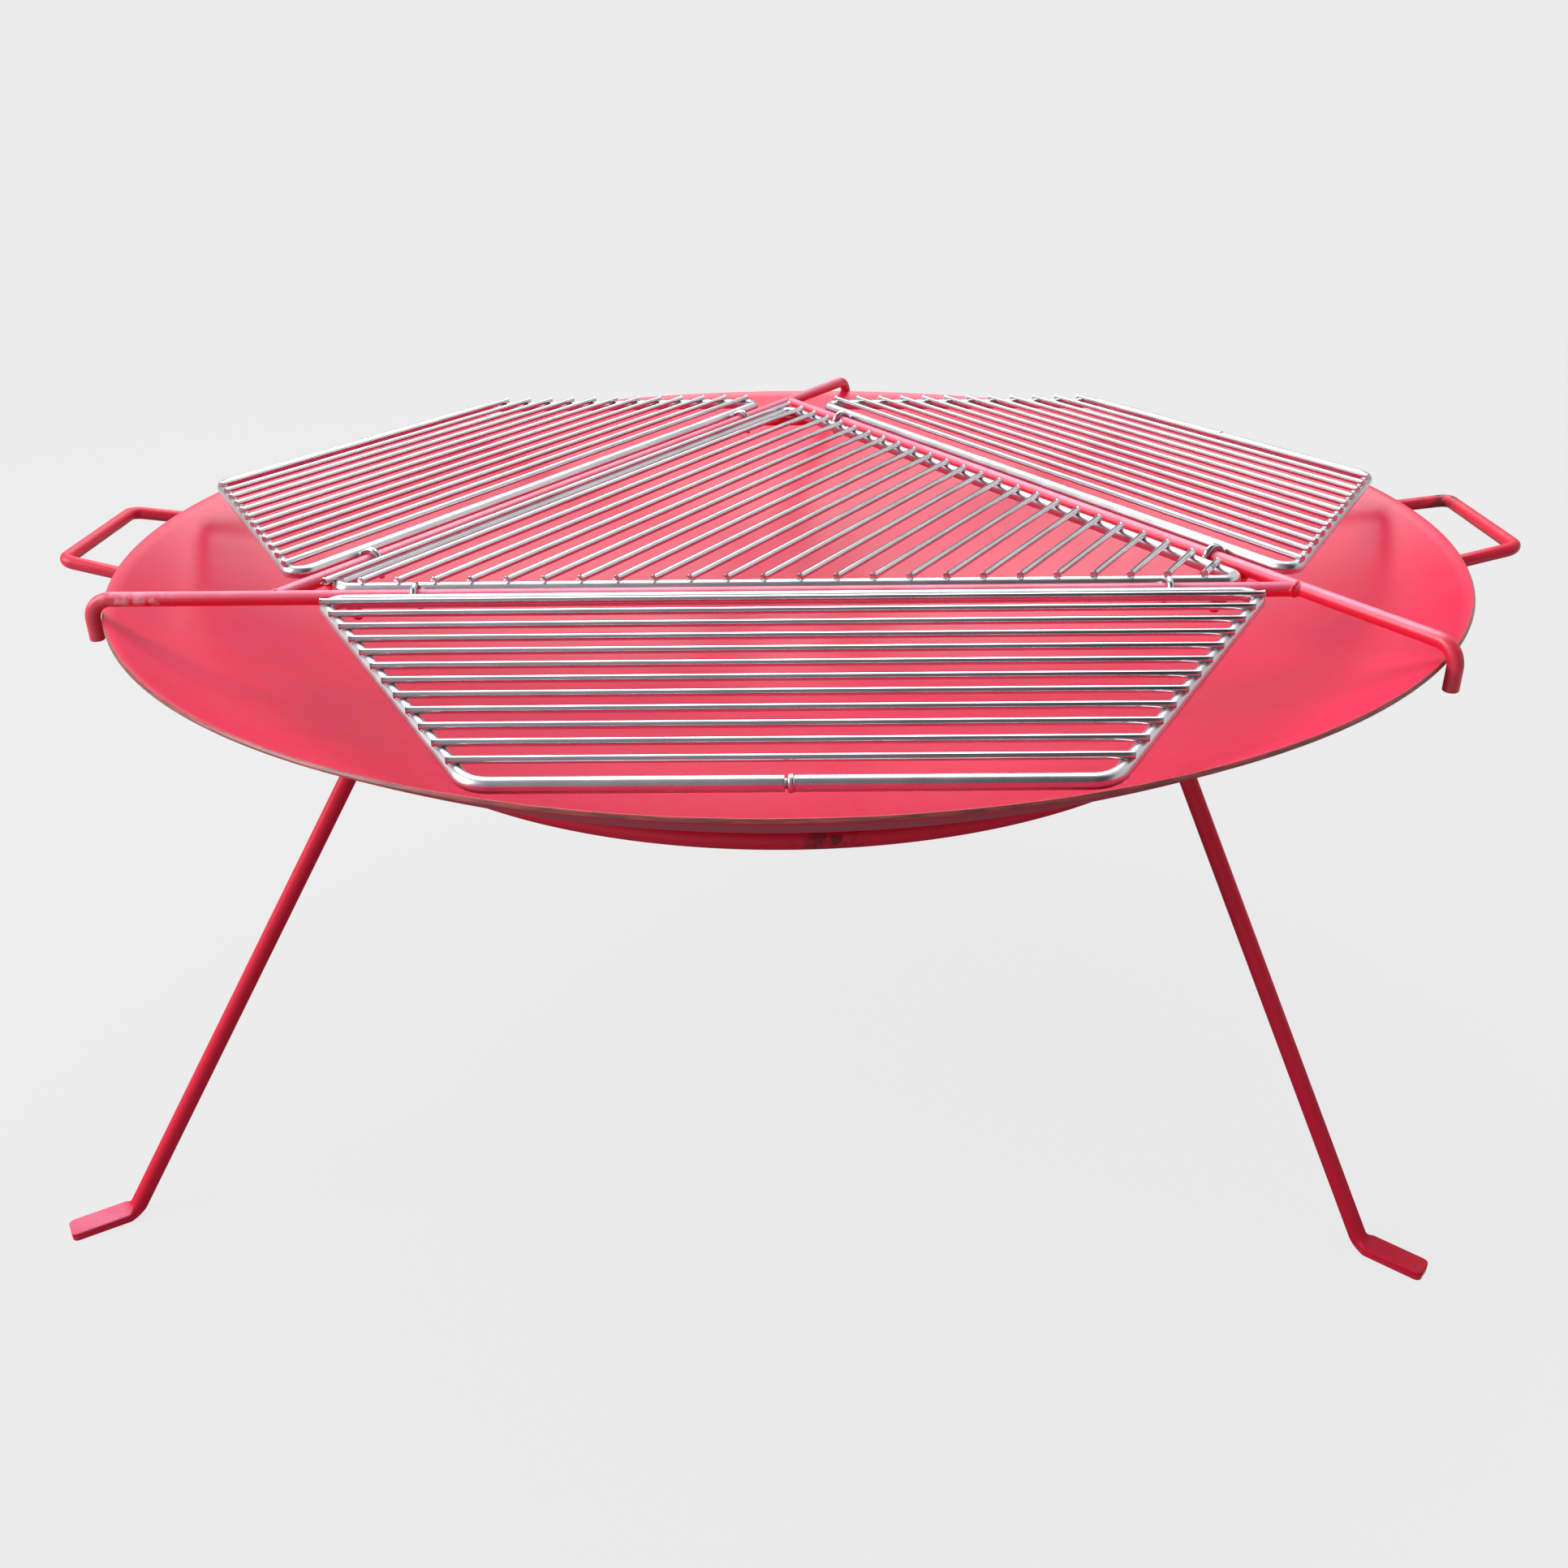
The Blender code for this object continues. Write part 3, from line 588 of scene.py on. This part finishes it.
# Painted sheen on the bars' tops: it rises over this stretch of -Y, past the bend over the rim.
ROD_SHEEN = (-0.12 * ROD_BAR, -0.42 * ROD_BAR)
ROD_SHEEN_FADE = 0.017
ROD_WELD = 0.0014
ROD_WELD_INSET = 0.0007
ROD_WELD_RISE = 0.0001
ROD_WORN_X = (-0.444, -0.434, -0.420)
ROD_WORN_REACH = 0.016
THIRD_TURN = 2 * np.pi / 3
rod_plane = pit_axis + UPWARD * (rim_top + ROD_RISE)
rod_tail_x = -np.sqrt(HOOK_RADIUS**2 - ROD_OFFSET**2)
rod_vertex = np.array([np.sqrt(3) * ROD_OFFSET, -ROD_OFFSET, 0.0])
worn_left_end = [
    (tuple(rod_plane + (x, -ROD_OFFSET, ROD_BAR / 2)), ROD_WORN_REACH) for x in ROD_WORN_X
]
for third, rod_name in enumerate(("frame_bar_front", "frame_bar_right", "frame_bar_left")):
    corners = [
        (rod_tail_x, -ROD_OFFSET, -HOOK_DROP),
        (rod_tail_x, -ROD_OFFSET, 0.0),
        rod_vertex,
    ]
    rows, straight = swept_bar(
        bent_path(corners, ROD_BEND, steps=16), (0.0, -1.0, 0.0), ROD_BAR / 2, chamfer=0.0006
    )
    paint = red_paint(rod_name + "_paint", worn=worn_left_end if third == 0 else (), gloss=0.7)
    # Painted sheen: pale pink of light on the bar's top.
    add_painted_sheen(paint, "Y", *ROD_SHEEN, HOOK_DROP, HOOK_DROP + ROD_SHEEN_FADE)
    rod = surface_piece(
        rod_name + "_bar", [(rod_plane + turned(rows, third * THIRD_TURN), straight)],
        paint, "grill_frame",
    )
    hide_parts(rod_name)
    next_axis = turned(np.array([1.0, 0.0, 0.0]), THIRD_TURN)
    line = cope_line(
        rod_vertex, (-1.0, 0.0, 0.0), next_axis,
        ROD_BAR / 2 - ROD_WELD_INSET, ROD_BAR / 2 + ROD_WELD_RISE,
    )
    bead_rows = weld_bead(line, (-1.0, 0.0, 0.0), bead=ROD_WELD)[0]
    # The weld bead gets no painted sheen.
    no_sheen = np.zeros_like(bead_rows)
    weld = surface_piece(
        rod_name + "_weld", [(rod_plane + turned(bead_rows, third * THIRD_TURN), no_sheen)],
        paint, "grill_frame", looped=True,
    )

# Corner bars: three short 8 mm round bars, welded under the frame across the corners of its
# triangle. They carry the centre grate.
CORNER_BAR = 0.008
CORNER_BAR_DISTANCE = 0.348
CORNER_BAR_OVERHANG = 0.009
CORNER_WELD_OUT = 0.0034
CORNER_WELD_DROP = 0.0004
CORNER_WELD_LONG = 0.0050
CORNER_WELD_WIDE = 0.0022
SEAT = 0.0003
corner_bar_drop = ROD_BAR / 2 + SEAT + CORNER_BAR / 2
corner_cross = (2 * ROD_OFFSET - CORNER_BAR_DISTANCE) * np.tan(np.radians(30))


def weld_lump(centre, long, wide, high, rows_of=8, sides=12):
    """Closed lump of weld: centre + long * cos t + (wide * cos s + high * sin s) * sin t."""
    long, wide, high = (np.asarray(axis, float) for axis in (long, wide, high))
    t = np.linspace(np.pi, 0, rows_of)[:, None, None]
    s = (2 * np.pi * np.arange(sides) / sides)[None, :, None]
    across = wide * np.cos(s) + high * np.sin(s)
    rows = centre + long * np.cos(t) + across * np.maximum(np.sin(t), 0.02)
    if np.cross(wide, high) @ long > 0:
        rows = rows[:, ::-1]
    return rows, rows


for third, bar_name in enumerate(("corner_bar_left", "corner_bar_right", "corner_bar_rear")):
    to_corner = np.radians(-150) + third * THIRD_TURN
    outward = np.array([np.cos(to_corner), np.sin(to_corner), 0.0])
    along = np.array([-np.sin(to_corner), np.cos(to_corner), 0.0])
    middle = rod_plane + outward * CORNER_BAR_DISTANCE - UPWARD * corner_bar_drop
    half = corner_cross + CORNER_BAR_OVERHANG
    bar_path = middle + np.outer(np.linspace(-half, half, 6), along)
    paint = red_paint(bar_name + "_paint")
    bar = surface_piece(
        bar_name + "_bar", [swept_bar(bar_path, UPWARD, CORNER_BAR / 2, chamfer=0.0005)],
        paint, "grill_frame",
    )
    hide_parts(bar_name)
    lumps = []
    for end in (-1, 1):
        crossing = middle + along * corner_cross * end + UPWARD * (CORNER_BAR / 2)
        rod_along = turned(along, np.radians(60) * end)
        rod_across = np.cross(UPWARD, rod_along)
        for flank in (-1, 1):
            spot = crossing + rod_across * flank * CORNER_WELD_OUT - UPWARD * CORNER_WELD_DROP
            lumps.append(weld_lump(
                spot, rod_along * CORNER_WELD_LONG, rod_across * CORNER_WELD_WIDE, UPWARD * CORNER_WELD_WIDE
            ))
    welds = surface_piece(bar_name + "_welds", lumps, paint, "grill_frame")

# Centre grate: a triangle of 9.2 mm bright steel wire, with 4.6 mm wires spot welded across its
# top, parallel to its left side. It lies loose on the corner bars.
FRAME_WIRE = 0.0092
CROSS_WIRE = 0.0046
WELD_SINK = 0.0009
CENTRE_BEND = 0.010
CENTRE_OVERHANG = 0.0006
CENTRE_INRADIUS = 0.180
CENTRE_WIRES = 25
CENTRE_PITCH = 0.0214
CENTRE_FIRST_INSET = 0.0005
WIRE_END_SWELL = 0.15
WIRE_END_REACH = 0.0014
WIRE_CHAMFER = 0.0004
FLASH_OUT = 0.0019
FLASH_SINK = 0.0006
FLASH_LONG = 0.0026
FLASH_WIDE = 0.0008
STEEL = (0.66, 0.66, 0.69)
DULL_STEEL = tuple(0.82 * value for value in STEEL)
HEATED_STEEL = (0.58, 0.54, 0.54)
FRAME_ROUGHNESS = (0.26, 0.34)
cross_wire_lift = (FRAME_WIRE + CROSS_WIRE) / 2 - WELD_SINK
centre_plane = rod_plane + UPWARD * (FRAME_WIRE - ROD_BAR) / 2


def bright_wire(name, roughness=(0.11, 0.18)):
    """Polished steel wire: fine lines along it from drawing, dull patches, and dulled by the welds."""
    material, tree, shader = new_material(name)
    shader.inputs["Metallic"].default_value = 1.0
    place = object_place(tree)
    heat = add_attribute(tree, "weld_heat", "Fac")
    clouds = add_range(tree, add_noise(tree, place, 22.0, detail=4.0), 0.35, 0.70, 0.0, 1.0)
    clean = add_mix(tree, clouds, STEEL, DULL_STEEL)
    colour = add_mix(tree, add_math(tree, "MULTIPLY", heat, 0.75), clean, HEATED_STEEL)
    tree.links.new(colour, shader.inputs["Base Color"])
    patches = add_range(tree, add_noise(tree, place, 60.0), 0.3, 0.7, *roughness)
    dulled = add_math(tree, "ADD", patches, add_math(tree, "MULTIPLY", heat, 0.2))
    tree.links.new(dulled, shader.inputs["Roughness"])
    add_bump(tree, shader, add_streaks(tree, (12.0, 2600.0, 2600.0), 2.0), 0.00005, 0.25)
    return material


def mark_heat(piece, spots, reach=0.0035):
    """Attribute that is 1 at a weld and fades with exp(-(distance / reach)^2)."""
    mesh = piece.data
    points = np.empty(len(mesh.vertices) * 3, np.float32)
    mesh.vertices.foreach_get("co", points)
    points = points.reshape(-1, 3)
    nearest = np.full(len(points), 1.0)
    for spot in spots:
        nearest = np.minimum(nearest, ((points - spot) ** 2).sum(axis=1))
    heat = mesh.attributes.new("weld_heat", "FLOAT", "POINT")
    heat.data.foreach_set("value", np.exp(-nearest / reach**2).astype(np.float32))


def wire_surface(start, end):
    """Straight cross wire: radius = half width * (1 + swell * exp(-(way from the end / reach)^2)).

    Its points lie closer together near its ends, to carry the swell and the heat marks there.
    """
    length = np.linalg.norm(end - start)
    near = np.concatenate([[0.0, 0.0012], np.arange(0.0024, 0.016, 0.002)])
    along = np.concatenate([near, np.linspace(0.02, length - 0.02, 8), length - near[::-1]])
    path = start + np.outer(along / length, end - start)
    from_end = np.minimum(along, length - along)
    radius = CROSS_WIRE / 2 * (1 + WIRE_END_SWELL * np.exp(-(from_end / WIRE_END_REACH) ** 2))
    return swept_bar(path, UPWARD, radius, sides=16, chamfer=WIRE_CHAMFER)


def weld_flash(spot, along_wire, across):
    """Two small lumps where a cross wire is pressed into a frame wire, one on each side."""
    seam = spot - UPWARD * (CROSS_WIRE / 2 - FLASH_SINK)
    return [
        weld_lump(
            seam + across * side * FLASH_OUT,
            along_wire * FLASH_LONG, across * FLASH_WIDE, UPWARD * FLASH_WIDE, rows_of=5, sides=8,
        )
        for side in (-1, 1)
    ]


grate_steel = bright_wire("grate_steel")
frame_steel = bright_wire("grate_frame_steel", FRAME_ROUGHNESS)
triangle = [
    2 * CENTRE_INRADIUS * np.array([np.cos(angle), np.sin(angle), 0.0])
    for angle in np.radians([-150, -30, 90])
]
centre_loop = centre_plane + bent_path(triangle, CENTRE_BEND, steps=18, looped=True)
centre_frame = surface_piece(
    "centre_grate_frame", [swept_bar(centre_loop, UPWARD, FRAME_WIRE / 2, looped=True)],
    frame_steel, "centre_grate", looped=True,
)
along = np.array([0.5, np.sqrt(3) / 2, 0.0])
across = np.array([np.sqrt(3) / 2, -0.5, 0.0])
wires = []
flashes = []
centre_spots = []
for wire in range(CENTRE_WIRES):
    from_middle = CENTRE_FIRST_INSET + wire * CENTRE_PITCH - CENTRE_INRADIUS
    to_frame = (CENTRE_INRADIUS - from_middle / 2) * 2 / np.sqrt(3)
    half = to_frame + CENTRE_OVERHANG * 2 / np.sqrt(3)
    middle = centre_plane + across * from_middle + UPWARD * cross_wire_lift
    wires.append(wire_surface(middle - along * half, middle + along * half))
    for end in (-1, 1):
        spot = middle + along * to_frame * end
        centre_spots.append(spot - UPWARD * CROSS_WIRE / 2)
        flashes += weld_flash(spot, along, across)
centre_wires = surface_piece("centre_grate_wires", wires, grate_steel, "centre_grate")
centre_flash = surface_piece("centre_grate_welds", flashes, grate_steel, "centre_grate")
for piece in (centre_frame, centre_wires, centre_flash):
    mark_heat(piece, centre_spots)
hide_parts("centre_grate")

# Side grates: three four-sided frames of 9.2 mm bright wire with 4.6 mm wires spot welded on top.
# The frame's ends are butt welded in the middle of the outer side, with a notch and a swollen bead.
# Two bent wire hooks, welded to the frame's inner edge, hang each grate on its bar.
SIDE_INNER_HALF = 0.310
SIDE_OUTER_HALF = 0.168
SIDE_DEPTH = 0.237
SIDE_OVERHANG = 0.0035
SIDE_WIRES = 12
SIDE_FIRST_INSET = 0.014
SIDE_LAST_INSET = 0.0165
SIDE_STANDOFF = 0.0135
SIDE_RISE = 0.003
SIDE_BENDS = (0.010, 0.021, 0.021, 0.010)
SIDE_BEND_STEPS = 18
HOOK_WIRE = 0.0045
HOOK_SPACING = 0.4996
HOOK_CLEARANCE = 0.0005
HOOK_TAIL = 0.012
HOOK_ROOT = 0.0012
HOOK_WELD_OUT = 0.0020
HOOK_WELD_BACK = 0.0013
HOOK_WELD_RISE = 0.0030
HOOK_WELD_LONG = 0.0028
HOOK_WELD_WIDE = 0.0013
HOOK_HEAT_REACH = 0.005
FRONT_REST_TILT = np.radians(4.449)
joint_of_body = {joint["child"]: joint for joint in frame["joints"]}


def into_place(points, joint, tilt):
    """From the bar's own axes, with x along it and z up, to the world: tilt about x, then turn and move."""
    x = -np.array(joint["axis"], float)
    y = np.cross(UPWARD, x)
    y_tilted = y * np.cos(tilt) + UPWARD * np.sin(tilt)
    z_tilted = -y * np.sin(tilt) + UPWARD * np.cos(tilt)
    return np.array(joint["pos_m"]) + np.asarray(points) @ np.stack([x, y_tilted, z_tilted])


def hook_path(hand):
    """Up the frame wire's inner edge, over the bar by an arc concentric with it, and down behind."""
    radius = ROD_BAR / 2 + HOOK_CLEARANCE + HOOK_WIRE / 2
    turn = np.linspace(np.pi, 0, 25)
    arc = np.stack([0 * turn, radius * np.cos(turn), radius * np.sin(turn)], axis=1)
    root = [(0.0, -radius, -HOOK_ROOT)]
    tail = [(0.0, radius, -HOOK_TAIL)]
    return np.concatenate([root, arc, tail]) + (hand * HOOK_SPACING / 2, 0.0, 0.0)


def placed(surfaces, joint, tilt):
    """The surfaces of a side grate, each moved on to its own bar."""
    return [(into_place(rows, joint, tilt), straight) for rows, straight in surfaces]


side_corners = [
    (-SIDE_INNER_HALF, -SIDE_STANDOFF, SIDE_RISE),
    (-SIDE_OUTER_HALF, -SIDE_STANDOFF - SIDE_DEPTH, SIDE_RISE),
    (SIDE_OUTER_HALF, -SIDE_STANDOFF - SIDE_DEPTH, SIDE_RISE),
    (SIDE_INNER_HALF, -SIDE_STANDOFF, SIDE_RISE),
]
X = np.array([1.0, 0.0, 0.0])
Y = np.array([0.0, 1.0, 0.0])
# The butt weld in millimetres: places along the outer side, and how far the wire swells at each.
BUTT_X = (-5.0, -3.2, -2.8, -2.6, -2.4, -1.6, -0.9, -0.6, 0.0, 0.9, 1.8, 2.4, 2.6, 2.8, 3.2, 5.0)
BUTT_SWELL = (0.0, 0.0, 0.0, -0.15, -1.3, -1.7, -1.2, 0.2, 0.5, 0.6, 0.5, 0.1, -0.2, 0.0, 0.0, 0.0)
side_loop = bent_path(side_corners, SIDE_BENDS, steps=SIDE_BEND_STEPS, looped=True)
butt_start = 2 * (SIDE_BEND_STEPS + 1)
butt_points = np.array(side_corners[1]) * (0.0, 1.0, 1.0) + np.outer(np.array(BUTT_X) / 1000, X)
side_loop = np.concatenate([side_loop[:butt_start], butt_points, side_loop[butt_start:]])
side_radius = np.full(len(side_loop), FRAME_WIRE / 2)
side_radius[butt_start:butt_start + len(BUTT_X)] += np.array(BUTT_SWELL) / 1000
for side_name, tilt in (("front", FRONT_REST_TILT), ("right", 0.0), ("left", 0.0)):
    body = side_name + "_side_grate"
    joint = joint_of_body[body]
    steel = bright_wire(side_name + "_grate_steel")
    frame_steel = bright_wire(side_name + "_grate_frame_steel", FRAME_ROUGHNESS)
    side_frame = surface_piece(
        side_name + "_grate_frame",
        placed([swept_bar(side_loop, UPWARD, side_radius, looped=True)], joint, tilt),
        frame_steel, body, looped=True,
    )
    wires = []
    flashes = []
    spots = []
    for inset in np.linspace(SIDE_FIRST_INSET, SIDE_DEPTH - SIDE_LAST_INSET, SIDE_WIRES):
        to_frame = SIDE_INNER_HALF - (SIDE_INNER_HALF - SIDE_OUTER_HALF) * inset / SIDE_DEPTH
        middle = np.array([0.0, -SIDE_STANDOFF - inset, SIDE_RISE + cross_wire_lift])
        half = to_frame + SIDE_OVERHANG
        wires.append(wire_surface(middle - X * half, middle + X * half))
        for end in (-1, 1):
            spot = middle + X * to_frame * end
            spots.append(into_place(spot - UPWARD * CROSS_WIRE / 2, joint, tilt))
            flashes += weld_flash(spot, X, Y)
    side_wires = surface_piece(side_name + "_grate_wires", placed(wires, joint, tilt), steel, body)
    flash = surface_piece(side_name + "_grate_welds", placed(flashes, joint, tilt), steel, body)
    for piece in (side_frame, side_wires, flash):
        mark_heat(piece, spots)
    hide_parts(side_name + "_grate")
    for hand_name, hand in (("left", -1), ("right", 1)):
        hook_name = f"{side_name}_grate_hook_{hand_name}"
        path = hook_path(hand)
        hook = surface_piece(
            hook_name + "_wire",
            placed([swept_bar(path, X, HOOK_WIRE / 2, sides=20, chamfer=WIRE_CHAMFER)], joint, tilt),
            steel, body,
        )
        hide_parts(hook_name)
        weld_spot = path[0] - Y * HOOK_WELD_BACK + UPWARD * HOOK_WELD_RISE
        lumps = [
            weld_lump(
                weld_spot + X * flank * HOOK_WELD_OUT,
                UPWARD * HOOK_WELD_LONG, X * HOOK_WELD_WIDE, Y * HOOK_WELD_WIDE,
            )
            for flank in (-1, 1)
        ]
        hook_weld = surface_piece(hook_name + "_weld", placed(lumps, joint, tilt), steel, body)
        for piece in (hook, hook_weld):
            mark_heat(piece, [into_place(weld_spot, joint, tilt)], reach=HOOK_HEAT_REACH)

# Floor and studio: a pale floor that fades into an even pale surround, a large soft lamp over and
# behind the pit, and another to its left. Grey flags that only gloss sees stand for the room.
PALE = (0.8388, 0.8388, 0.8388, 1.0)
FLOOR_GREY = (0.34, 0.34, 0.34, 1.0)
FLOOR_GLOW = 1.075
FLOOR_RADIUS = 4.5
FLOOR_FADES_FROM = 0.9
FLOOR_SEEN = 0.88
SURROUND_LIGHT = 0.38


def toward(tree, rays):
    """1 for the rays that look straight at a thing, or at it in metal or gloss."""
    mirrored = add_math(tree, "MAXIMUM", rays.outputs["Is Glossy Ray"], rays.outputs["Is Transmission Ray"])
    return add_math(tree, "MAXIMUM", rays.outputs["Is Camera Ray"], mirrored)


floor_mesh = bpy.data.meshes.new("studio_floor")
floor_circle = circle_about(np.zeros(3), FLOOR_RADIUS, 64)
floor_mesh.from_pydata(floor_circle.tolist(), [], [list(range(64))])
floor = linked_object("studio_floor", floor_mesh)
floor_material, floor_tree, floor_shader = new_material("pale_floor")
floor_shader.inputs["Base Color"].default_value = FLOOR_GREY
floor_shader.inputs["Roughness"].default_value = 0.9
floor_shader.inputs["Specular IOR Level"].default_value = 0.0
floor_glow = floor_tree.nodes.new("ShaderNodeEmission")
floor_glow.inputs["Color"].default_value = PALE
floor_glow.inputs["Strength"].default_value = FLOOR_GLOW
floor_rays = floor_tree.nodes.new("ShaderNodeLightPath")
floor_mix = floor_tree.nodes.new("ShaderNodeMixShader")
floor_share = add_math(floor_tree, "MULTIPLY", toward(floor_tree, floor_rays), FLOOR_SEEN)
floor_tree.links.new(floor_share, floor_mix.inputs["Fac"])
floor_tree.links.new(floor_shader.outputs["BSDF"], floor_mix.inputs[1])
floor_tree.links.new(floor_glow.outputs["Emission"], floor_mix.inputs[2])
floor_reach = floor_tree.nodes.new("ShaderNodeVectorMath")
floor_reach.operation = "LENGTH"
floor_tree.links.new(object_place(floor_tree), floor_reach.inputs[0])
floor_edge = floor_tree.nodes.new("ShaderNodeMixShader")
floor_fade = add_range(
    floor_tree, floor_reach.outputs["Value"], FLOOR_FADES_FROM, FLOOR_RADIUS, 0.0, 1.0
)
floor_tree.links.new(floor_fade, floor_edge.inputs["Fac"])
floor_tree.links.new(floor_mix.outputs["Shader"], floor_edge.inputs[1])
floor_clear = floor_tree.nodes.new("ShaderNodeBsdfTransparent")
floor_tree.links.new(floor_clear.outputs["BSDF"], floor_edge.inputs[2])
floor_tree.links.new(floor_edge.outputs["Shader"], floor_tree.nodes["Material Output"].inputs["Surface"])
floor_mesh.materials.append(floor_material)

world = bpy.data.worlds.new("studio_surround")
bpy.context.scene.world = world
world.use_nodes = True
world_tree = world.node_tree
surround = world_tree.nodes["Background"]
surround.inputs["Color"].default_value = (1.0, 1.0, 1.0, 1.0)
surround.inputs["Strength"].default_value = SURROUND_LIGHT
backdrop = world_tree.nodes.new("ShaderNodeBackground")
backdrop.inputs["Color"].default_value = PALE
world_rays = world_tree.nodes.new("ShaderNodeLightPath")
world_mix = world_tree.nodes.new("ShaderNodeMixShader")
world_tree.links.new(toward(world_tree, world_rays), world_mix.inputs["Fac"])
world_tree.links.new(surround.outputs["Background"], world_mix.inputs[1])
world_tree.links.new(backdrop.outputs["Background"], world_mix.inputs[2])
world_tree.links.new(world_mix.outputs["Shader"], world_tree.nodes["World Output"].inputs["Surface"])


def facing(place, target):
    """Matrix of a lamp at place whose -Z points at the target, with +Y as near up as can be."""
    back = unit(place - target)
    right = unit(np.cross(UPWARD, back))
    matrix = np.eye(4)
    matrix[:3, 0] = right
    matrix[:3, 1] = np.cross(back, right)
    matrix[:3, 2] = back
    matrix[:3, 3] = place
    return Matrix(matrix.tolist())


def soft_lamp(name, place, target, size, power, colour):
    """Square area lamp at place, facing the target."""
    lamp = bpy.data.lights.new(name, "AREA")
    lamp.shape = "SQUARE"
    lamp.size = size
    lamp.energy = power
    lamp.color = colour
    holder = linked_object(name, lamp)
    holder.matrix_world = facing(np.array(place, float), np.array(target, float))


soft_lamp(
    "overhead_softbox", place=(-0.3, 1.9, 3.2), target=(0.0, 0.0, 0.4),
    size=3.0, power=122.0, colour=(0.97, 0.97, 1.0),
)
soft_lamp(
    "left_softbox", place=(-3.2, -0.8, 2.2), target=(-0.2, 0.0, 0.3),
    size=2.2, power=108.0, colour=(1.0, 0.98, 0.98),
)


FLAG_BLUE = 1.06


def grey_flag(name, left_glow, right_glow, points, faces):
    """Studio flag that shows only in gloss and metal, and neither lights the pit nor shades it.

    Its grey goes evenly from the left glow at x = -1 m to the right glow at x = 1 m.
    """
    material, tree, shader = new_material(name)
    shader.inputs["Base Color"].default_value = (0.0, 0.0, 0.0, 1.0)
    shader.inputs["Specular IOR Level"].default_value = 0.0
    split = tree.nodes.new("ShaderNodeSeparateXYZ")
    tree.links.new(object_place(tree), split.inputs["Vector"])
    to_right = add_range(tree, split.outputs["X"], -1.0, 1.0, 0.0, 1.0)
    left_grey = (left_glow, left_glow, FLAG_BLUE * left_glow)
    right_grey = (right_glow, right_glow, FLAG_BLUE * right_glow)
    tree.links.new(add_mix(tree, to_right, left_grey, right_grey), shader.inputs["Emission Color"])
    shader.inputs["Emission Strength"].default_value = 1.0
    mesh = bpy.data.meshes.new(name)
    mesh.from_pydata(np.asarray(points).tolist(), [], faces)
    mesh.materials.append(material)
    flag = linked_object(name, mesh)
    flag.visible_camera = False
    flag.visible_diffuse = False
    flag.visible_transmission = False
    flag.visible_shadow = False


horizon = circle_about(np.zeros(3), 7.0, 48)
grey_flag(
    "horizon_flag", 0.14, 0.08,
    np.concatenate([horizon + 0.4 * UPWARD, horizon + 1.2 * UPWARD]),
    [[i, (i + 1) % 48, 48 + (i + 1) % 48, 48 + i] for i in range(48)],
)
grey_flag(
    "rear_flag", 0.28, 0.12,
    [(-2.8, 6.4, 0.6), (2.8, 6.4, 0.6), (2.8, 6.4, 3.4), (-2.8, 6.4, 3.4)],
    [[0, 1, 2, 3]],
)
grey_flag(
    "front_flag", 0.42, 0.04,
    [(-3.4, -3.6, 0.7), (3.4, -3.6, 0.7), (3.4, -0.4, 4.2), (-3.4, -0.4, 4.2)],
    [[0, 1, 2, 3]],
)
grey_flag(
    "front_floor_flag", 0.90, 0.05,
    [(-4.0, -6.0, 0.006), (4.0, -6.0, 0.006), (4.0, -1.0, 0.006), (-4.0, -1.0, 0.006)],
    [[0, 1, 2, 3]],
)
# Painted shade: a dark disc just above the floor under the pit, for the floor in the pit's shadow as gloss
# sees it.
grey_flag("floor_flag", 0.12, 0.04, circle_about(0.004 * UPWARD, 0.9, 48), [list(range(48))])

# Camera: where the photograph was taken from, in front of the dish and 0.34 m above its rim.
# Its place is counted from the middle of the rim, and it looks 26 degrees down.
FOCAL_PIXELS = 1826.4
FRAME_PIXELS = 1932
SENSOR_WIDTH = 36.0
CAMERA_FROM_RIM = np.array([0.0099, -1.1357, 0.3360])
YAW = -0.0128
PITCH = 0.4621
ROLL = -0.0129
camera_data = bpy.data.cameras.new("photo_camera")
camera_data.sensor_width = SENSOR_WIDTH
camera_data.lens = FOCAL_PIXELS / FRAME_PIXELS * SENSOR_WIDTH
camera_data.clip_end = 200.0
camera = linked_object("photo_camera", camera_data)
forward = np.array([np.sin(YAW) * np.cos(PITCH), np.cos(YAW) * np.cos(PITCH), -np.sin(PITCH)])
level_right = np.array([np.cos(YAW), -np.sin(YAW), 0.0])
level_up = np.cross(level_right, forward)
camera_place = pit_axis + UPWARD * rim_top + CAMERA_FROM_RIM
camera_matrix = np.eye(4)
camera_matrix[:3, 0] = np.cos(ROLL) * level_right + np.sin(ROLL) * level_up
camera_matrix[:3, 1] = -np.sin(ROLL) * level_right + np.cos(ROLL) * level_up
camera_matrix[:3, 2] = -forward
camera_matrix[:3, 3] = camera_place
camera.matrix_world = Matrix(camera_matrix.tolist())
bpy.context.scene.camera = camera
bpy.context.scene.view_settings.view_transform = "Standard"
